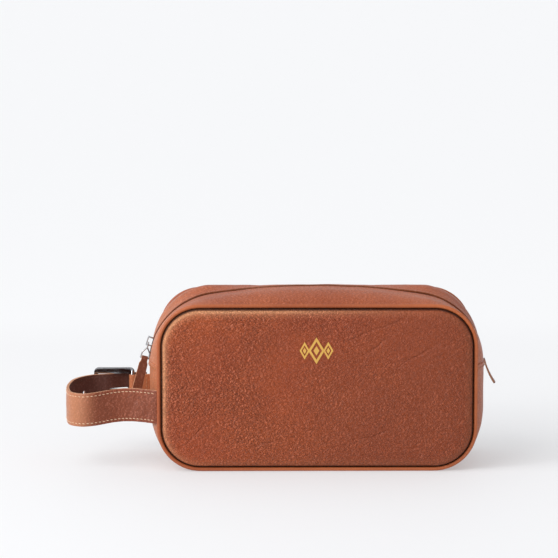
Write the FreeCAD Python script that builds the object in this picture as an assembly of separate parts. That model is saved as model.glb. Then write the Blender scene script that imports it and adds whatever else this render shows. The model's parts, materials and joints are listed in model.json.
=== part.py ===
"""Shaving kit bag: a zipped leather wash bag with a buckled side strap.

Row frame, millimetres: X across the bag, Y from the front panel (-) to the back panel (+), Z up.
The origin is the centre of the flat base. Each function below makes the sub-parts of one group.
"""
import FreeCAD, Part
import math
import os

Vector = FreeCAD.Vector

# ---- driving dimensions -------------------------------------------------------------------
SEAM_Y = 50.0            # piping centre line, front and back
PIPE_R = 1.8             # leather-covered piping cord
PIPE_HALF_W = 132.0      # piping centre line, half width
PIPE_TOP = 139.2
PIPE_CORNER = 34.5
PANEL_GAP = 0.2          # panel edge to piping
PANEL_T = 2.4            # panel leather with its bonded backing
WALL_T = 2.9             # gusset leather with its bonded backing
LEATHER_T = 1.6          # bare leather beside the zip
LINING_T = 0.45
SKIN_GAP = 0.05          # lining to wall
EDGE_Y = 48.2            # gusset edge at the seam

# Gusset cross-sections from the seam to the flat crest beside the zip:
# (distance from the middle, half width, top, bottom corner, top corner, radius of the arched top)
SECTIONS = [
    (EDGE_Y, 132.0, 139.2, 33.5, 34.5, 6000.0),
    (40.0, 136.0, 143.0, 38.0, 42.0, 2500.0),
    (30.0, 138.6, 146.6, 45.0, 52.0, 1100.0),
    (16.0, 140.5, 149.0, 52.0, 60.0, 700.0),
]
CREST = SECTIONS[-1][1:]

SPLIT_Z = 88.0           # where the zip strips meet the lower gusset
SPLIT_GAP = 0.2          # half of the seam gap there
LIP_X = 60.0             # the zip strips flex open between these
LIP_GAP = 0.2
LIP_SEAM_GAP = 0.3       # lip edge to piping, so that the lip can turn
ZIP_SLOT = 1.2           # half of the slot between the leather edges
CHANNEL_Y = 5.5          # half width of the slider's channel under the leather
TAPE_Y = 14.0
TAPE_T = 0.45
COIL_Y = (0.8, 2.9)
COIL_D = (3.45, 5.4)     # depth of the coil below the leather's outer face

SLIDER_ANGLE = 16.5      # slider's place on the left corner, degrees above the corner's centre
SLIDER_HALF_ANGLE = 4.6
PLATE_Y = 4.3            # half width of the slider's two plates
TOP_PLATE_D = (1.8, 2.7) # depths below the leather's outer face
LOW_PLATE_D = (5.65, 6.6)
SLIDER_WALL = 0.45       # half thickness of its flanges and of its wedge post
FLANGE_TOP_D = 3.65
FLANGE_STOP = 2.0        # degrees from the slider's front end
POST_ANGLES = (2.6, 0.2)
NECK_HALF_Y = 0.8        # bridge's foot, which passes up through the slot
NECK_D = 2.0
STOP_GAP = 0.5           # degrees below the slider
STOP_ANGLE = 2.1
STOP_D = (0.05, 0.9)     # depths below the coil
STOP_HALF_Y = 3.0
CRIMP_HALF_Y = 0.9
CRIMP_Y = 1.85
BRIDGE_HALF_ANGLE = 3.6
BRIDGE_HALF_Y = 1.2
BRIDGE_LOW = 0.3         # bridge's foot and top above the leather
BRIDGE_TOP = 5.5
BRIDGE_WALL = 1.0
PULL_TILT = 14.0         # the link and the leather pull lean outwards from straight down
PULL_PIN_R = 0.7
PULL_WIRE_R = 0.6
PULL_CHEEK_Y = 2.1       # side arms of the link's eye, either side of the bridge
PULL_NECK = 3.9          # from the bridge to the neck where the link turns a quarter
PULL_LINK_L = 13.1
PULL_BAR_HALF = 3.7
PULL_SHOULDER = (8.4, 3.2)
PULL_TAB_L = 33.0
PULL_TAB_T = 1.2
PULL_TAB_BORE = 0.7

STRAP_Z = (38.0, 66.0)
STRAP_AXIS_X = -134.9    # the loop swings about a line across the bag, through both sewn roots
STRAP_SWING = 27.0       # its ends are pointed by this angle, to turn clear of the bag
STRAP_T = (1.3, 1.1)     # outer and inner layer
STRAP_PATH = [
    (-134.5, -47.0), (-146.0, -41.5), (-160.0, -37.0), (-176.0, -38.5), (-192.0, -42.5),
    (-205.0, -37.5), (-212.0, -21.0), (-213.5, -2.0), (-209.0, 18.0), (-199.5, 32.0),
    (-188.0, 38.6), (-178.0, 40.6), (-166.0, 46.4), (-157.0, 48.2), (-145.0, 49.6),
]
HEEL = (-157.0, 43.0)    # buckle's heel bar, which the tab folds round
HEEL_R = 1.5
HEEL_CLEARANCE = 0.06
FRAME_X = (-190.0, -155.2)
FRAME_Z = (32.0, 72.0)
FRAME_BAR = 3.5
FRAME_RAIL = 5.2         # upper and lower bars
FRAME_CORNER = 4.0
FRAME_T = 2.4
PRONG_W = 2.6
PRONG_T = 1.8
PRONG_LIFT = 0.55        # prong clear of the front bar
PRONG_SLOT_X = (-176.0, -162.5)
PRONG_SLOT_HALF = 1.9
PUNCH_Y = (38.0, 52.0)   # the slot is punched through the rear of the loop
STRAP_HOLE_R = 1.7
STRAP_HOLES = ((-199.5, 32.0), (-151.5, 48.9))
HOLE_REACH = 5.0
TAB_SLOT = (5.0, 4.6, 2.1)   # the tab's slot before and behind the heel bar, and its half width
TAB_FOLD_R = 3.0
TAB_ROOT = (-134.5, 46.9)
TAB_ROOT_HALF = 1.4

GRIP_ROOT = (140.9, 86.2)
GRIP_L = 22.5
GRIP_TILT = 24.0
GRIP_W = 9.0
GRIP_T = 1.4
GRIP_BOW = 1.0
BIG = 400.0
LAP = 0.05               # how far joined pieces run into each other


# ---- helpers ------------------------------------------------------------------------------
def box(x0, x1, y0, y1, z0, z1):
    return Part.makeBox(x1 - x0, y1 - y0, z1 - z0, Vector(x0, y0, z0))


def save(node, shape):
    """Writes one sub-part, which may hold several separate solids."""
    solids = [s for s in shape.Solids if s.Volume > 0.01]
    for solid in solids:
        if not solid.isValid():
            raise ValueError(f"{node}: invalid solid")
    whole = solids[0] if len(solids) == 1 else Part.makeCompound(solids)
    whole.exportStep(f"parts/{node}.step")
    print(f"{node:26s} solids {len(solids):2d}  volume {sum(s.Volume for s in solids):10.1f}")


def corner_centre_z(half_w, top, corner, arch):
    """Height of the top corner's centre, so that the corner arc runs smoothly into the arched top."""
    return top - arch + math.sqrt((arch - corner) ** 2 - (half_w - corner) ** 2)


def outline(y, section, inset=0.0):
    """A closed wire: flat bottom, straight sides, four round corners and an arched top."""
    half_w, top, low_r, top_r, arch = section
    half_w, top, low_r, top_r, arch = (
        half_w - inset, top - inset, low_r - inset, top_r - inset, arch - inset)
    cz = corner_centre_z(half_w, top, top_r, arch)
    arch_z = top - arch
    cx = half_w - top_r
    lean = math.atan2(cx, cz - arch_z)
    join = Vector(arch * math.sin(lean), y, arch_z + arch * math.cos(lean))
    turn = (math.pi / 2 - lean) / 2
    mid = Vector(cx + top_r * math.cos(turn), y, cz + top_r * math.sin(turn))
    low_c = (half_w - low_r, inset + low_r)
    diag = low_r * math.sqrt(0.5)
    low_mid = Vector(low_c[0] + diag, y, low_c[1] - diag)

    def flip(p):
        return Vector(-p.x, p.y, p.z)

    right = Vector(half_w, y, cz)
    right_low = Vector(half_w, y, low_c[1])
    base = Vector(low_c[0], y, inset)
    edges = [
        Part.LineSegment(flip(base), base).toShape(),
        Part.Arc(base, low_mid, right_low).toShape(),
        Part.LineSegment(right_low, right).toShape(),
        Part.Arc(right, mid, join).toShape(),
        Part.Arc(join, Vector(0, y, top), flip(join)).toShape(),
        Part.Arc(flip(join), flip(mid), flip(right)).toShape(),
        Part.LineSegment(flip(right), flip(right_low)).toShape(),
        Part.Arc(flip(right_low), flip(low_mid), flip(base)).toShape(),
    ]
    return Part.Wire(edges)


def gusset_body(inset):
    """The whole bulged body inside the gusset's outer face, taken in by inset."""
    rows = [(-s[0], s[1:]) for s in SECTIONS] + [(s[0], s[1:]) for s in reversed(SECTIONS)]
    return Part.makeLoft([outline(y, section, inset) for y, section in rows], True, True)


def crest_slab(inset, y0, y1):
    """The body between y0 and y1 under the flat crest, taken in by inset."""
    face = Part.Face(outline(y0, CREST, inset))
    return face.extrude(Vector(0, y1 - y0, 0))


def above(shape):
    return shape.common(box(-BIG, BIG, -BIG, BIG, SPLIT_Z + SPLIT_GAP, BIG))


def side(shape, sign, y0, y1):
    """The share of shape between distances y0 and y1 from the middle, front (-1) or rear (+1)."""
    low, high = sorted((sign * y0, sign * y1))
    return shape.common(box(-BIG, BIG, low, high, -BIG, BIG))


def lip_and_ends(shape):
    """Splits a zip strip's layer into the middle that flexes open and the two fixed ends."""
    inner = LIP_X - LIP_GAP
    outer = LIP_X + LIP_GAP
    lip = shape.common(box(-inner, inner, -BIG, BIG, SPLIT_Z, BIG))
    ends = shape.cut(box(-outer, outer, -BIG, BIG, SPLIT_Z, BIG))
    return lip, ends


# ---- panels and piping ----------------------------------------------------------------------
PANEL_PROFILE = [(0.0, 0.0), (0.5, 2.0), (2.4, 4.2), (7.0, 5.8), (16.0, 6.8), (28.0, 7.3)]
PANEL_HALF_W = PIPE_HALF_W - PIPE_R - PANEL_GAP
PANEL_LOW = 2 * PIPE_R + PANEL_GAP
PANEL_TOP = PIPE_TOP - PIPE_R - PANEL_GAP
PANEL_CORNER = PIPE_CORNER - PIPE_R - PANEL_GAP


def round_rect(y, half_w, low, high, corner):
    diag = corner * (1 - math.sqrt(0.5))
    x, z0, z1 = half_w, low, high
    pts = [
        (-x + corner, z0), (x - corner, z0), (x - diag, z0 + diag), (x, z0 + corner),
        (x, z1 - corner), (x - diag, z1 - diag), (x - corner, z1), (-x + corner, z1),
        (-x + diag, z1 - diag), (-x, z1 - corner), (-x, z0 + corner), (-x + diag, z0 + diag),
    ]
    p = [Vector(a, y, b) for a, b in pts]
    return Part.Wire([
        Part.LineSegment(p[0], p[1]).toShape(), Part.Arc(p[1], p[2], p[3]).toShape(),
        Part.LineSegment(p[3], p[4]).toShape(), Part.Arc(p[4], p[5], p[6]).toShape(),
        Part.LineSegment(p[6], p[7]).toShape(), Part.Arc(p[7], p[8], p[9]).toShape(),
        Part.LineSegment(p[9], p[10]).toShape(), Part.Arc(p[10], p[11], p[0]).toShape(),
    ])


def panel_dome(sign, depth):
    """The crowned body bounded by the panel's outer face sunk by depth."""
    wires = []
    last = len(PANEL_PROFILE) - 1
    for i, (inset, rise) in enumerate(PANEL_PROFILE):
        a = PANEL_PROFILE[max(i - 1, 0)]
        b = PANEL_PROFILE[min(i + 1, last)]
        run, climb = b[0] - a[0], b[1] - a[1]
        size = math.hypot(run, climb)
        inset += depth * climb / size
        rise -= depth * run / size
        if i == 0:
            inset, rise = depth, min(rise, 0.0) - (1.0 if depth else 0.0)
        wires.append(round_rect(
            sign * (SEAM_Y + rise), PANEL_HALF_W - inset, PANEL_LOW + inset,
            PANEL_TOP - inset, PANEL_CORNER - inset))
    return Part.makeLoft(wires, True, True)


def panels():
    for name, sign in (("front", -1), ("back", 1)):
        save(f"{name}_panel", panel_dome(sign, 0.0).cut(panel_dome(sign, PANEL_T)))
        shell = panel_dome(sign, PANEL_T + SKIN_GAP).cut(panel_dome(sign, PANEL_T + LINING_T))
        beyond = box(-BIG, BIG, SEAM_Y, BIG, -BIG, BIG)
        if sign < 0:
            beyond = box(-BIG, BIG, -BIG, -SEAM_Y, -BIG, BIG)
        save(f"{name}_panel_lining", shell.common(beyond))


def pipings():
    """A round cord and the flat seam flange behind it, in one leather cover."""
    flange_in, flange_out = 9.0, 0.4
    for name, sign in (("front", -1), ("back", 1)):
        y = sign * SEAM_Y
        path = round_rect(y, PIPE_HALF_W, PIPE_R, PIPE_TOP, PIPE_CORNER)
        start = Vector(-PIPE_HALF_W + PIPE_CORNER, y, PIPE_R)
        profile = Part.Wire(Part.makeCircle(PIPE_R, start, Vector(1, 0, 0)))
        cord = path.makePipeShell([profile], True, False)
        y0, y1 = sorted((sign * (EDGE_Y + 0.1), sign * (SEAM_Y - 0.1)))
        bodies = []
        for inset in (flange_out, flange_in):
            wire = round_rect(y0, PIPE_HALF_W - inset, PIPE_R + inset, PIPE_TOP - inset,
                              PIPE_CORNER - inset)
            bodies.append(Part.Face(wire).extrude(Vector(0, y1 - y0, 0)))
        flange = bodies[0].cut(bodies[1])
        save(f"{name}_piping", cord.fuse(flange))


# ---- gusset: lower piece, zip strips, tape, coil and linings --------------------------------
def gusset():
    wall = gusset_body(0.0).cut(gusset_body(WALL_T))
    lining = gusset_body(WALL_T + SKIN_GAP).cut(gusset_body(WALL_T + LINING_T))
    below = box(-BIG, BIG, -BIG, BIG, -BIG, SPLIT_Z - SPLIT_GAP)
    save("lower_gusset", wall.common(below))
    save("lower_gusset_lining", lining.common(below))
    channel = crest_slab(LEATHER_T, -CHANNEL_Y, CHANNEL_Y)
    strips = above(wall).cut(channel)
    tape = above(crest_slab(WALL_T + SKIN_GAP, -TAPE_Y, TAPE_Y).cut(
        crest_slab(WALL_T + SKIN_GAP + TAPE_T, -TAPE_Y, TAPE_Y)))
    coil = above(crest_slab(COIL_D[0], -TAPE_Y, TAPE_Y).cut(crest_slab(COIL_D[1], -TAPE_Y, TAPE_Y)))
    seam = EDGE_Y - LIP_SEAM_GAP
    for name, sign in (("front", -1), ("rear", 1)):
        leather, leather_ends = lip_and_ends(side(strips, sign, ZIP_SLOT, EDGE_Y))
        save(f"{name}_lip", side(leather, sign, 0, seam))
        save(f"{name}_strip_ends", leather_ends)
        for part, shape, y0, y1 in (
            ("tape", tape, COIL_Y[0], TAPE_Y),
            ("coil", coil, COIL_Y[0], COIL_Y[1]),
            ("lining", above(lining), TAPE_Y + SPLIT_GAP, seam - 1.0),
        ):
            lip, ends = lip_and_ends(side(shape, sign, y0, y1))
            save(f"{name}_lip_{part}", lip)
            save(f"{name}_strip_{part}_ends", ends)


# ---- zip stops, slider and pulls ------------------------------------------------------------
CORNER_R = CREST[3]
CORNER_X = -(CREST[0] - CORNER_R)
CORNER_Z = corner_centre_z(CREST[0], CREST[1], CREST[3], CREST[4])


def on_corner(radius, degrees, y=0.0, mirror=1):
    a = math.radians(degrees)
    return Vector(mirror * (CORNER_X - radius * math.cos(a)), y, CORNER_Z + radius * math.sin(a))


def sector(r0, r1, a0, a1, half_y, mirror=1, y_mid=0.0):
    """A curved block on the top left corner of the crest, between two radii and two angles."""
    y0 = y_mid - half_y
    mid = (a0 + a1) / 2
    p = [on_corner(r0, a0, y0, mirror), on_corner(r0, mid, y0, mirror), on_corner(r0, a1, y0, mirror),
         on_corner(r1, a1, y0, mirror), on_corner(r1, mid, y0, mirror), on_corner(r1, a0, y0, mirror)]
    wire = Part.Wire([
        Part.Arc(p[0], p[1], p[2]).toShape(), Part.LineSegment(p[2], p[3]).toShape(),
        Part.Arc(p[3], p[4], p[5]).toShape(), Part.LineSegment(p[5], p[0]).toShape(),
    ])
    return Part.Face(wire).extrude(Vector(0, 2 * half_y, 0))


def zip_stops():
    """A closed stop below the slider, and one crimp on each coil at the other end."""
    high = SLIDER_ANGLE - SLIDER_HALF_ANGLE - STOP_GAP
    low = high - STOP_ANGLE
    r0, r1 = (CORNER_R - COIL_D[1] - depth for depth in reversed(STOP_D))
    save("zip_bottom_stop", sector(r0, r1, low, high, STOP_HALF_Y))
    crimps = [sector(r0, r1, low, high, CRIMP_HALF_Y, -1, s * CRIMP_Y) for s in (-1, 1)]
    save("zip_top_stops", Part.makeCompound(crimps))


def slider():
    """Two plates on the coil, joined by a wedge post, with a bridge on top for the link."""
    a = SLIDER_ANGLE
    r = CORNER_R
    back, front = a - SLIDER_HALF_ANGLE, a + SLIDER_HALF_ANGLE
    top_plate = sector(r - TOP_PLATE_D[1], r - TOP_PLATE_D[0], back, front, PLATE_Y)
    low_plate = sector(r - LOW_PLATE_D[1], r - LOW_PLATE_D[0], back, front, PLATE_Y)
    flange_y = PLATE_Y - SLIDER_WALL
    flanges = [sector(r - LOW_PLATE_D[0], r - FLANGE_TOP_D, back, front - FLANGE_STOP, SLIDER_WALL,
                      1, s * flange_y) for s in (-1, 1)]
    post = sector(r - LOW_PLATE_D[0] - LAP, r - TOP_PLATE_D[1] + LAP, front - POST_ANGLES[0],
                  front - POST_ANGLES[1], SLIDER_WALL)
    neck = sector(r - NECK_D, r + BRIDGE_LOW, a - BRIDGE_HALF_ANGLE, a + BRIDGE_HALF_ANGLE, NECK_HALF_Y)
    body = top_plate.fuse([low_plate, post, neck] + flanges)
    save("slider_body", body.removeSplitter())
    outer = a - BRIDGE_HALF_ANGLE, a + BRIDGE_HALF_ANGLE
    arch = sector(r + BRIDGE_LOW, r + BRIDGE_TOP, outer[0], outer[1], BRIDGE_HALF_Y)
    window = sector(r + BRIDGE_LOW + 0.6, r + BRIDGE_TOP - BRIDGE_WALL,
                    outer[0] + BRIDGE_WALL, outer[1] - BRIDGE_WALL, 2 * BRIDGE_HALF_Y)
    save("slider_bridge", arch.cut(window))


def pull_frame():
    """The link's hinge, its direction from there and the direction across it."""
    lift = math.degrees((PULL_PIN_R + 0.25) / CORNER_R)
    hinge = on_corner(CORNER_R + BRIDGE_TOP - BRIDGE_WALL - PULL_PIN_R - 0.2,
                      SLIDER_ANGLE - BRIDGE_HALF_ANGLE + BRIDGE_WALL + lift)
    tilt = math.radians(PULL_TILT)
    down = Vector(-math.sin(tilt), 0, -math.cos(tilt))
    across = Vector(math.cos(tilt), 0, -math.sin(tilt))
    return hinge, down, across


def rod(p, q, radius):
    """A round wire from p to q with ball ends."""
    wire = Part.makeCylinder(radius, (q - p).Length, p, q - p)
    return wire.fuse([Part.makeSphere(radius, p), Part.makeSphere(radius, q)])


def puller_link():
    """An eye round the slider's bridge, a neck, and an open loop turned a quarter to the eye."""
    hinge, down, across = pull_frame()
    neck = hinge + down * PULL_NECK
    pieces = []
    for s in (-1, 1):
        shift = Vector(0, s * PULL_CHEEK_Y, 0)
        pieces.append(rod(hinge + shift, neck + shift, PULL_WIRE_R))
    shift = Vector(0, PULL_CHEEK_Y, 0)
    pieces.append(Part.makeCylinder(PULL_PIN_R - 0.02, 2 * PULL_CHEEK_Y, hinge - shift, Vector(0, 1, 0)))
    pieces.append(rod(neck - shift, neck + shift, PULL_WIRE_R + 0.1))
    corners = []
    for s in (-1, 1):
        shoulder = hinge + down * PULL_SHOULDER[0] + across * (s * PULL_SHOULDER[1])
        corner = hinge + down * PULL_LINK_L + across * (s * PULL_BAR_HALF)
        pieces.append(rod(neck, shoulder, PULL_WIRE_R))
        pieces.append(rod(shoulder, corner, PULL_WIRE_R - 0.01))
        corners.append(corner)
    pieces.append(rod(corners[0], corners[1], PULL_WIRE_R))
    save("puller_link", pieces[0].fuse(pieces[1:]))


def pull_tab():
    """A leather strip folded over the link's bar, narrow at the fold, its two tails stitched flat."""
    hinge, down, across = pull_frame()
    bar = hinge + down * PULL_LINK_L
    r0, r1 = PULL_TAB_BORE, PULL_TAB_BORE + PULL_TAB_T
    t = PULL_TAB_T
    reach = 6.0
    side_on = Vector(0, 1, 0)

    def solid(points, depth):
        """Extrudes an outline given as (thickness, length) pairs across the strip."""
        start = bar - across * depth
        wire = Part.makePolygon([start + side_on * u + down * v for u, v in points + [points[0]]])
        return Part.Face(wire).extrude(across * (2 * depth))

    start = bar - across * reach
    outer = solid([(-r1, 0), (-t, 7.0), (-t, PULL_TAB_L), (t, PULL_TAB_L), (t, 7.0), (r1, 0)], reach)
    outer = outer.fuse(Part.makeCylinder(r1, 2 * reach, start, across))
    hollow = solid([(-r0, 0), (0, 5.5), (r0, 0)], reach)
    hollow = hollow.fuse(Part.makeCylinder(r0, 2 * reach, start, across))
    outline_pts = [(-2.7, -3.0), (-2.7, 2.6), (-3.7, 5.0), (-4.2, PULL_TAB_L - 2.5), (-2.6, PULL_TAB_L),
                   (2.6, PULL_TAB_L), (4.2, PULL_TAB_L - 2.5), (3.7, 5.0), (2.7, 2.6), (2.7, -3.0)]
    face_pts = [bar + across * u + down * v - side_on * 4.0 for u, v in outline_pts + [outline_pts[0]]]
    blank = Part.Face(Part.makePolygon(face_pts)).extrude(side_on * 8.0)
    save("pull_tab", outer.cut(hollow).common(blank).removeSplitter())


def grip_tab():
    """A doubled leather tab sewn in at the right end of the zip, bowed a little towards the bag."""
    tilt = math.radians(GRIP_TILT)
    root = Vector(GRIP_ROOT[0] + GRIP_T / 2, -GRIP_W / 2, GRIP_ROOT[1])
    down = Vector(math.sin(tilt), 0, -math.cos(tilt))
    out = Vector(math.cos(tilt), 0, math.sin(tilt))
    half = out * (GRIP_T / 2)
    bow = out * -GRIP_BOW
    end = root + down * GRIP_L
    mid = root + down * (GRIP_L / 2) + bow
    wire = Part.Wire([
        Part.Arc(root - half, mid - half, end - half).toShape(),
        Part.LineSegment(end - half, end + half).toShape(),
        Part.Arc(end + half, mid + half, root + half).toShape(),
        Part.LineSegment(root + half, root - half).toShape(),
    ])
    save("grip_tab", Part.Face(wire).extrude(Vector(0, GRIP_W, 0)))


# ---- strap and buckle -----------------------------------------------------------------------
def strap_layer(curve, t0, t1):
    """A band that follows the strap's line, between two offsets from it (positive is outwards)."""
    steps = 48
    first, last = curve.FirstParameter, curve.LastParameter
    rows = ([], [])
    for i in range(steps + 1):
        u = first + (last - first) * i / steps
        point, tangent = curve.value(u), curve.tangent(u)[0]
        outwards = Vector(-tangent.y, tangent.x, 0) * -1
        outwards.normalize()
        for row, offset in zip(rows, (t0, t1)):
            row.append(point + outwards * offset)
    curves = []
    for row in rows:
        spline = Part.BSplineCurve()
        spline.interpolate(row)
        curves.append(spline)
    wire = Part.Wire([
        curves[0].toShape(), Part.LineSegment(rows[0][-1], rows[1][-1]).toShape(),
        curves[1].toShape(), Part.LineSegment(rows[1][0], rows[0][0]).toShape(),
    ])
    return Part.Face(wire).extrude(Vector(0, 0, STRAP_Z[1] - STRAP_Z[0]))


def root_trim():
    """What is cut from a sewn end, above and below the swing axis, to leave it pointed."""
    mid_z = sum(STRAP_Z) / 2
    reach = 16.0
    run = reach * math.tan(math.radians(STRAP_SWING))
    x = STRAP_AXIS_X
    tools = []
    for s in (-1, 1):
        points = [(x, mid_z), (x - run, mid_z + s * reach), (x + 6.0, mid_z + s * reach), (x + 6.0, mid_z)]
        wire = Part.makePolygon([Vector(a, -60.0, b) for a, b in points + [points[0]]])
        tools.append(Part.Face(wire).extrude(Vector(0, 120.0, 0)))
    return tools[0].fuse(tools[1])


def strap():
    line = Part.BSplineCurve()
    line.interpolate([Vector(x, y, STRAP_Z[0]) for x, y in STRAP_PATH])
    mid_z = sum(STRAP_Z) / 2
    y0, y1 = PUNCH_Y
    cuts = [box(PRONG_SLOT_X[0], PRONG_SLOT_X[1], y0, y1, mid_z - PRONG_SLOT_HALF, mid_z + PRONG_SLOT_HALF)]
    for x in PRONG_SLOT_X:
        cuts.append(Part.makeCylinder(PRONG_SLOT_HALF, y1 - y0, Vector(x, y0, mid_z), Vector(0, 1, 0)))
    for x, y in STRAP_HOLES:
        at = line.parameter(Vector(x, y, STRAP_Z[0]))
        point, tangent = line.value(at), line.tangent(at)[0]
        drill = Vector(tangent.y, -tangent.x, 0)
        start = Vector(point.x, point.y, mid_z) - drill * HOLE_REACH
        cuts.append(Part.makeCylinder(STRAP_HOLE_R, 2 * HOLE_REACH, start, drill))
    half = sum(STRAP_T) / 2
    split = half - STRAP_T[0]
    cuts.append(root_trim())
    holes = cuts[0].fuse(cuts[1:])
    save("strap_outer", strap_layer(line, split + 0.01, half).cut(holes))
    save("strap_inner", strap_layer(line, -half, split - 0.01).cut(holes))


def buckle_tab():
    """A leather tab sewn in the rear seam and folded round the heel bar, slotted for the prong."""
    z0, z1 = STRAP_Z
    mid_z = (z0 + z1) / 2
    hx, hy = HEEL
    rx, ry = TAB_ROOT
    along = Vector(rx - hx, ry - hy, 0)
    along.normalize()
    normal = Vector(-along.y, along.x, 0)
    heel, root = Vector(hx, hy, z0), Vector(rx, ry, z0)
    corners = [heel + normal * TAB_FOLD_R, root + normal * TAB_ROOT_HALF,
               root - normal * TAB_ROOT_HALF, heel - normal * TAB_FOLD_R]
    web = Part.Face(Part.makePolygon(corners + [corners[0]])).extrude(Vector(0, 0, z1 - z0))
    fold = Part.makeCylinder(TAB_FOLD_R, z1 - z0, heel)
    bore = Part.makeCylinder(HEEL_R + HEEL_CLEARANCE, z1 - z0, heel)
    before, behind, slot_half = TAB_SLOT
    slot = box(hx - before, hx + behind, hy - before, hy + before, mid_z - slot_half, mid_z + slot_half)
    save("buckle_tab", web.fuse(fold).cut(bore).cut(slot).cut(root_trim()).removeSplitter())


def buckle():
    x0, x1 = FRAME_X
    z0, z1 = FRAME_Z
    y0 = HEEL[1] - FRAME_T / 2
    outer = Part.makeBox(x1 - x0, FRAME_T, z1 - z0, Vector(x0, y0, z0))
    upright = [e for e in outer.Edges if abs(e.tangentAt(e.FirstParameter).y) > 0.9]
    outer = outer.makeFillet(FRAME_CORNER, upright)
    window = box(x0 + FRAME_BAR, x1 + 1.0, y0 - 1.0, y0 + FRAME_T + 1.0, z0 + FRAME_RAIL, z1 - FRAME_RAIL)
    heel = Part.makeCylinder(HEEL_R, z1 - z0 - FRAME_RAIL, Vector(HEEL[0], HEEL[1], z0 + FRAME_RAIL / 2))
    frame = outer.cut(window).fuse(heel).removeSplitter()
    save("buckle_frame", frame)
    mid_z = sum(STRAP_Z) / 2
    heel_point = Vector(HEEL[0], HEEL[1], mid_z - PRONG_W / 2)
    ring = Part.makeCylinder(HEEL_R + 1.3, PRONG_W, heel_point)
    start = Vector(HEEL[0] - 1.0, HEEL[1] + 0.25, mid_z - PRONG_W / 2)
    end = Vector(x0 - 1.5, HEEL[1] + FRAME_T / 2 + PRONG_T / 2 + PRONG_LIFT, mid_z - PRONG_W / 2)
    along = end - start
    along.normalize()
    half = Vector(-along.y, along.x, 0) * (PRONG_T / 2)
    bar = Part.Face(Part.makePolygon([start + half, end + half, end - half, start - half, start + half]))
    prong = ring.fuse(bar.extrude(Vector(0, 0, PRONG_W)))
    prong = prong.cut(Part.makeCylinder(HEEL_R + HEEL_CLEARANCE, PRONG_W, heel_point))
    save("buckle_prong", prong.removeSplitter())


def main():
    os.makedirs("parts", exist_ok=True)
    panels()
    pipings()
    gusset()
    zip_stops()
    slider()
    puller_link()
    pull_tab()
    grip_tab()
    strap()
    buckle_tab()
    buckle()
    print("zip corner centre", round(CORNER_X, 3), round(CORNER_Z, 3))
    hinge, down, across = pull_frame()
    bar = hinge + down * PULL_LINK_L
    print("puller hinge", [round(v, 3) for v in (hinge.x, hinge.z)])
    print("pull tab hinge", [round(v, 3) for v in (bar.x, bar.z)], "along", [round(v, 5) for v in across])


main()
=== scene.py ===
# %% [markdown]
# # A leather shaving kit bag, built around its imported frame
# The frame holds the bag's real sizes and the parts that move. Each lesson below makes the looks
# of one group of pieces: leather skins, piping, zip, pulls, strap and buckle, then the studio.

# %% Load the frame
import bpy
import json
import math
from mathutils import Vector, Matrix, noise


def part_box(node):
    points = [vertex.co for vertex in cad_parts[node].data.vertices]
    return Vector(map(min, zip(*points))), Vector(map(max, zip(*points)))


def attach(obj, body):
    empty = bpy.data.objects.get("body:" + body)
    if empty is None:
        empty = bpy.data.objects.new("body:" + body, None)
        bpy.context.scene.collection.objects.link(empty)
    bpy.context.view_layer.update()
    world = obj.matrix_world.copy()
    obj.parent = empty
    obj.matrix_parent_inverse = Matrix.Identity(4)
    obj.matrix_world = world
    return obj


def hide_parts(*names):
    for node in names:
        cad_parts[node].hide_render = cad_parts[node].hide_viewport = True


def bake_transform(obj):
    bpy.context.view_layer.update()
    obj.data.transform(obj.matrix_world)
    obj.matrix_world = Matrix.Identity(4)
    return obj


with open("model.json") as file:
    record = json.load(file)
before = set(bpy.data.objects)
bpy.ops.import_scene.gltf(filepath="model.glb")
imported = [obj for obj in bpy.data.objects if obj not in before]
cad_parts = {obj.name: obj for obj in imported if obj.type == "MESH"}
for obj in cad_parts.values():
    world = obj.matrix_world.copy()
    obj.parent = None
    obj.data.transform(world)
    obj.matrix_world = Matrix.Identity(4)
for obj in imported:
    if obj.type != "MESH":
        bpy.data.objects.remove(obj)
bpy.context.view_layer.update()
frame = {"nodes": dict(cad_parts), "record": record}

# %% [markdown]
# ## Camera
# A small product is best shown from far away with a long lens, so that its edges stay parallel.
# The camera comes first, because every later look is judged through it.

# %% Set up the camera
MM = 0.001
CAMERA_DISTANCE = 2.80
CAMERA_RISE = math.radians(8.3)
CAMERA_SIDE = math.radians(0.5)
VIEW_WIDTH = 0.4620
CAMERA_AIM = Vector((-0.0320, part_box("front_piping")[0].y, 0.1623))


def add_camera():
    """A long lens, a little above the bag and a little to its strap side."""
    toward = Vector((-math.sin(CAMERA_SIDE) * math.cos(CAMERA_RISE),
                     -math.cos(CAMERA_SIDE) * math.cos(CAMERA_RISE), math.sin(CAMERA_RISE)))
    bpy.ops.object.camera_add(location=CAMERA_AIM + toward * CAMERA_DISTANCE)
    camera = bpy.context.object
    camera.rotation_euler = (-toward).to_track_quat("-Z", "Y").to_euler()
    camera.data.sensor_width = 36
    camera.data.lens = 36 * CAMERA_DISTANCE / VIEW_WIDTH
    camera.data.clip_end = 20
    bpy.context.scene.camera = camera
    print("lens", round(camera.data.lens), "mm")


add_camera()

# %% [markdown]
# ## Shader maths as plain expressions
# A node material is a formula. One small class wraps an output socket, so that `1 - mask * 0.3`
# adds the Math nodes by itself, and one method makes any other node.

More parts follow.
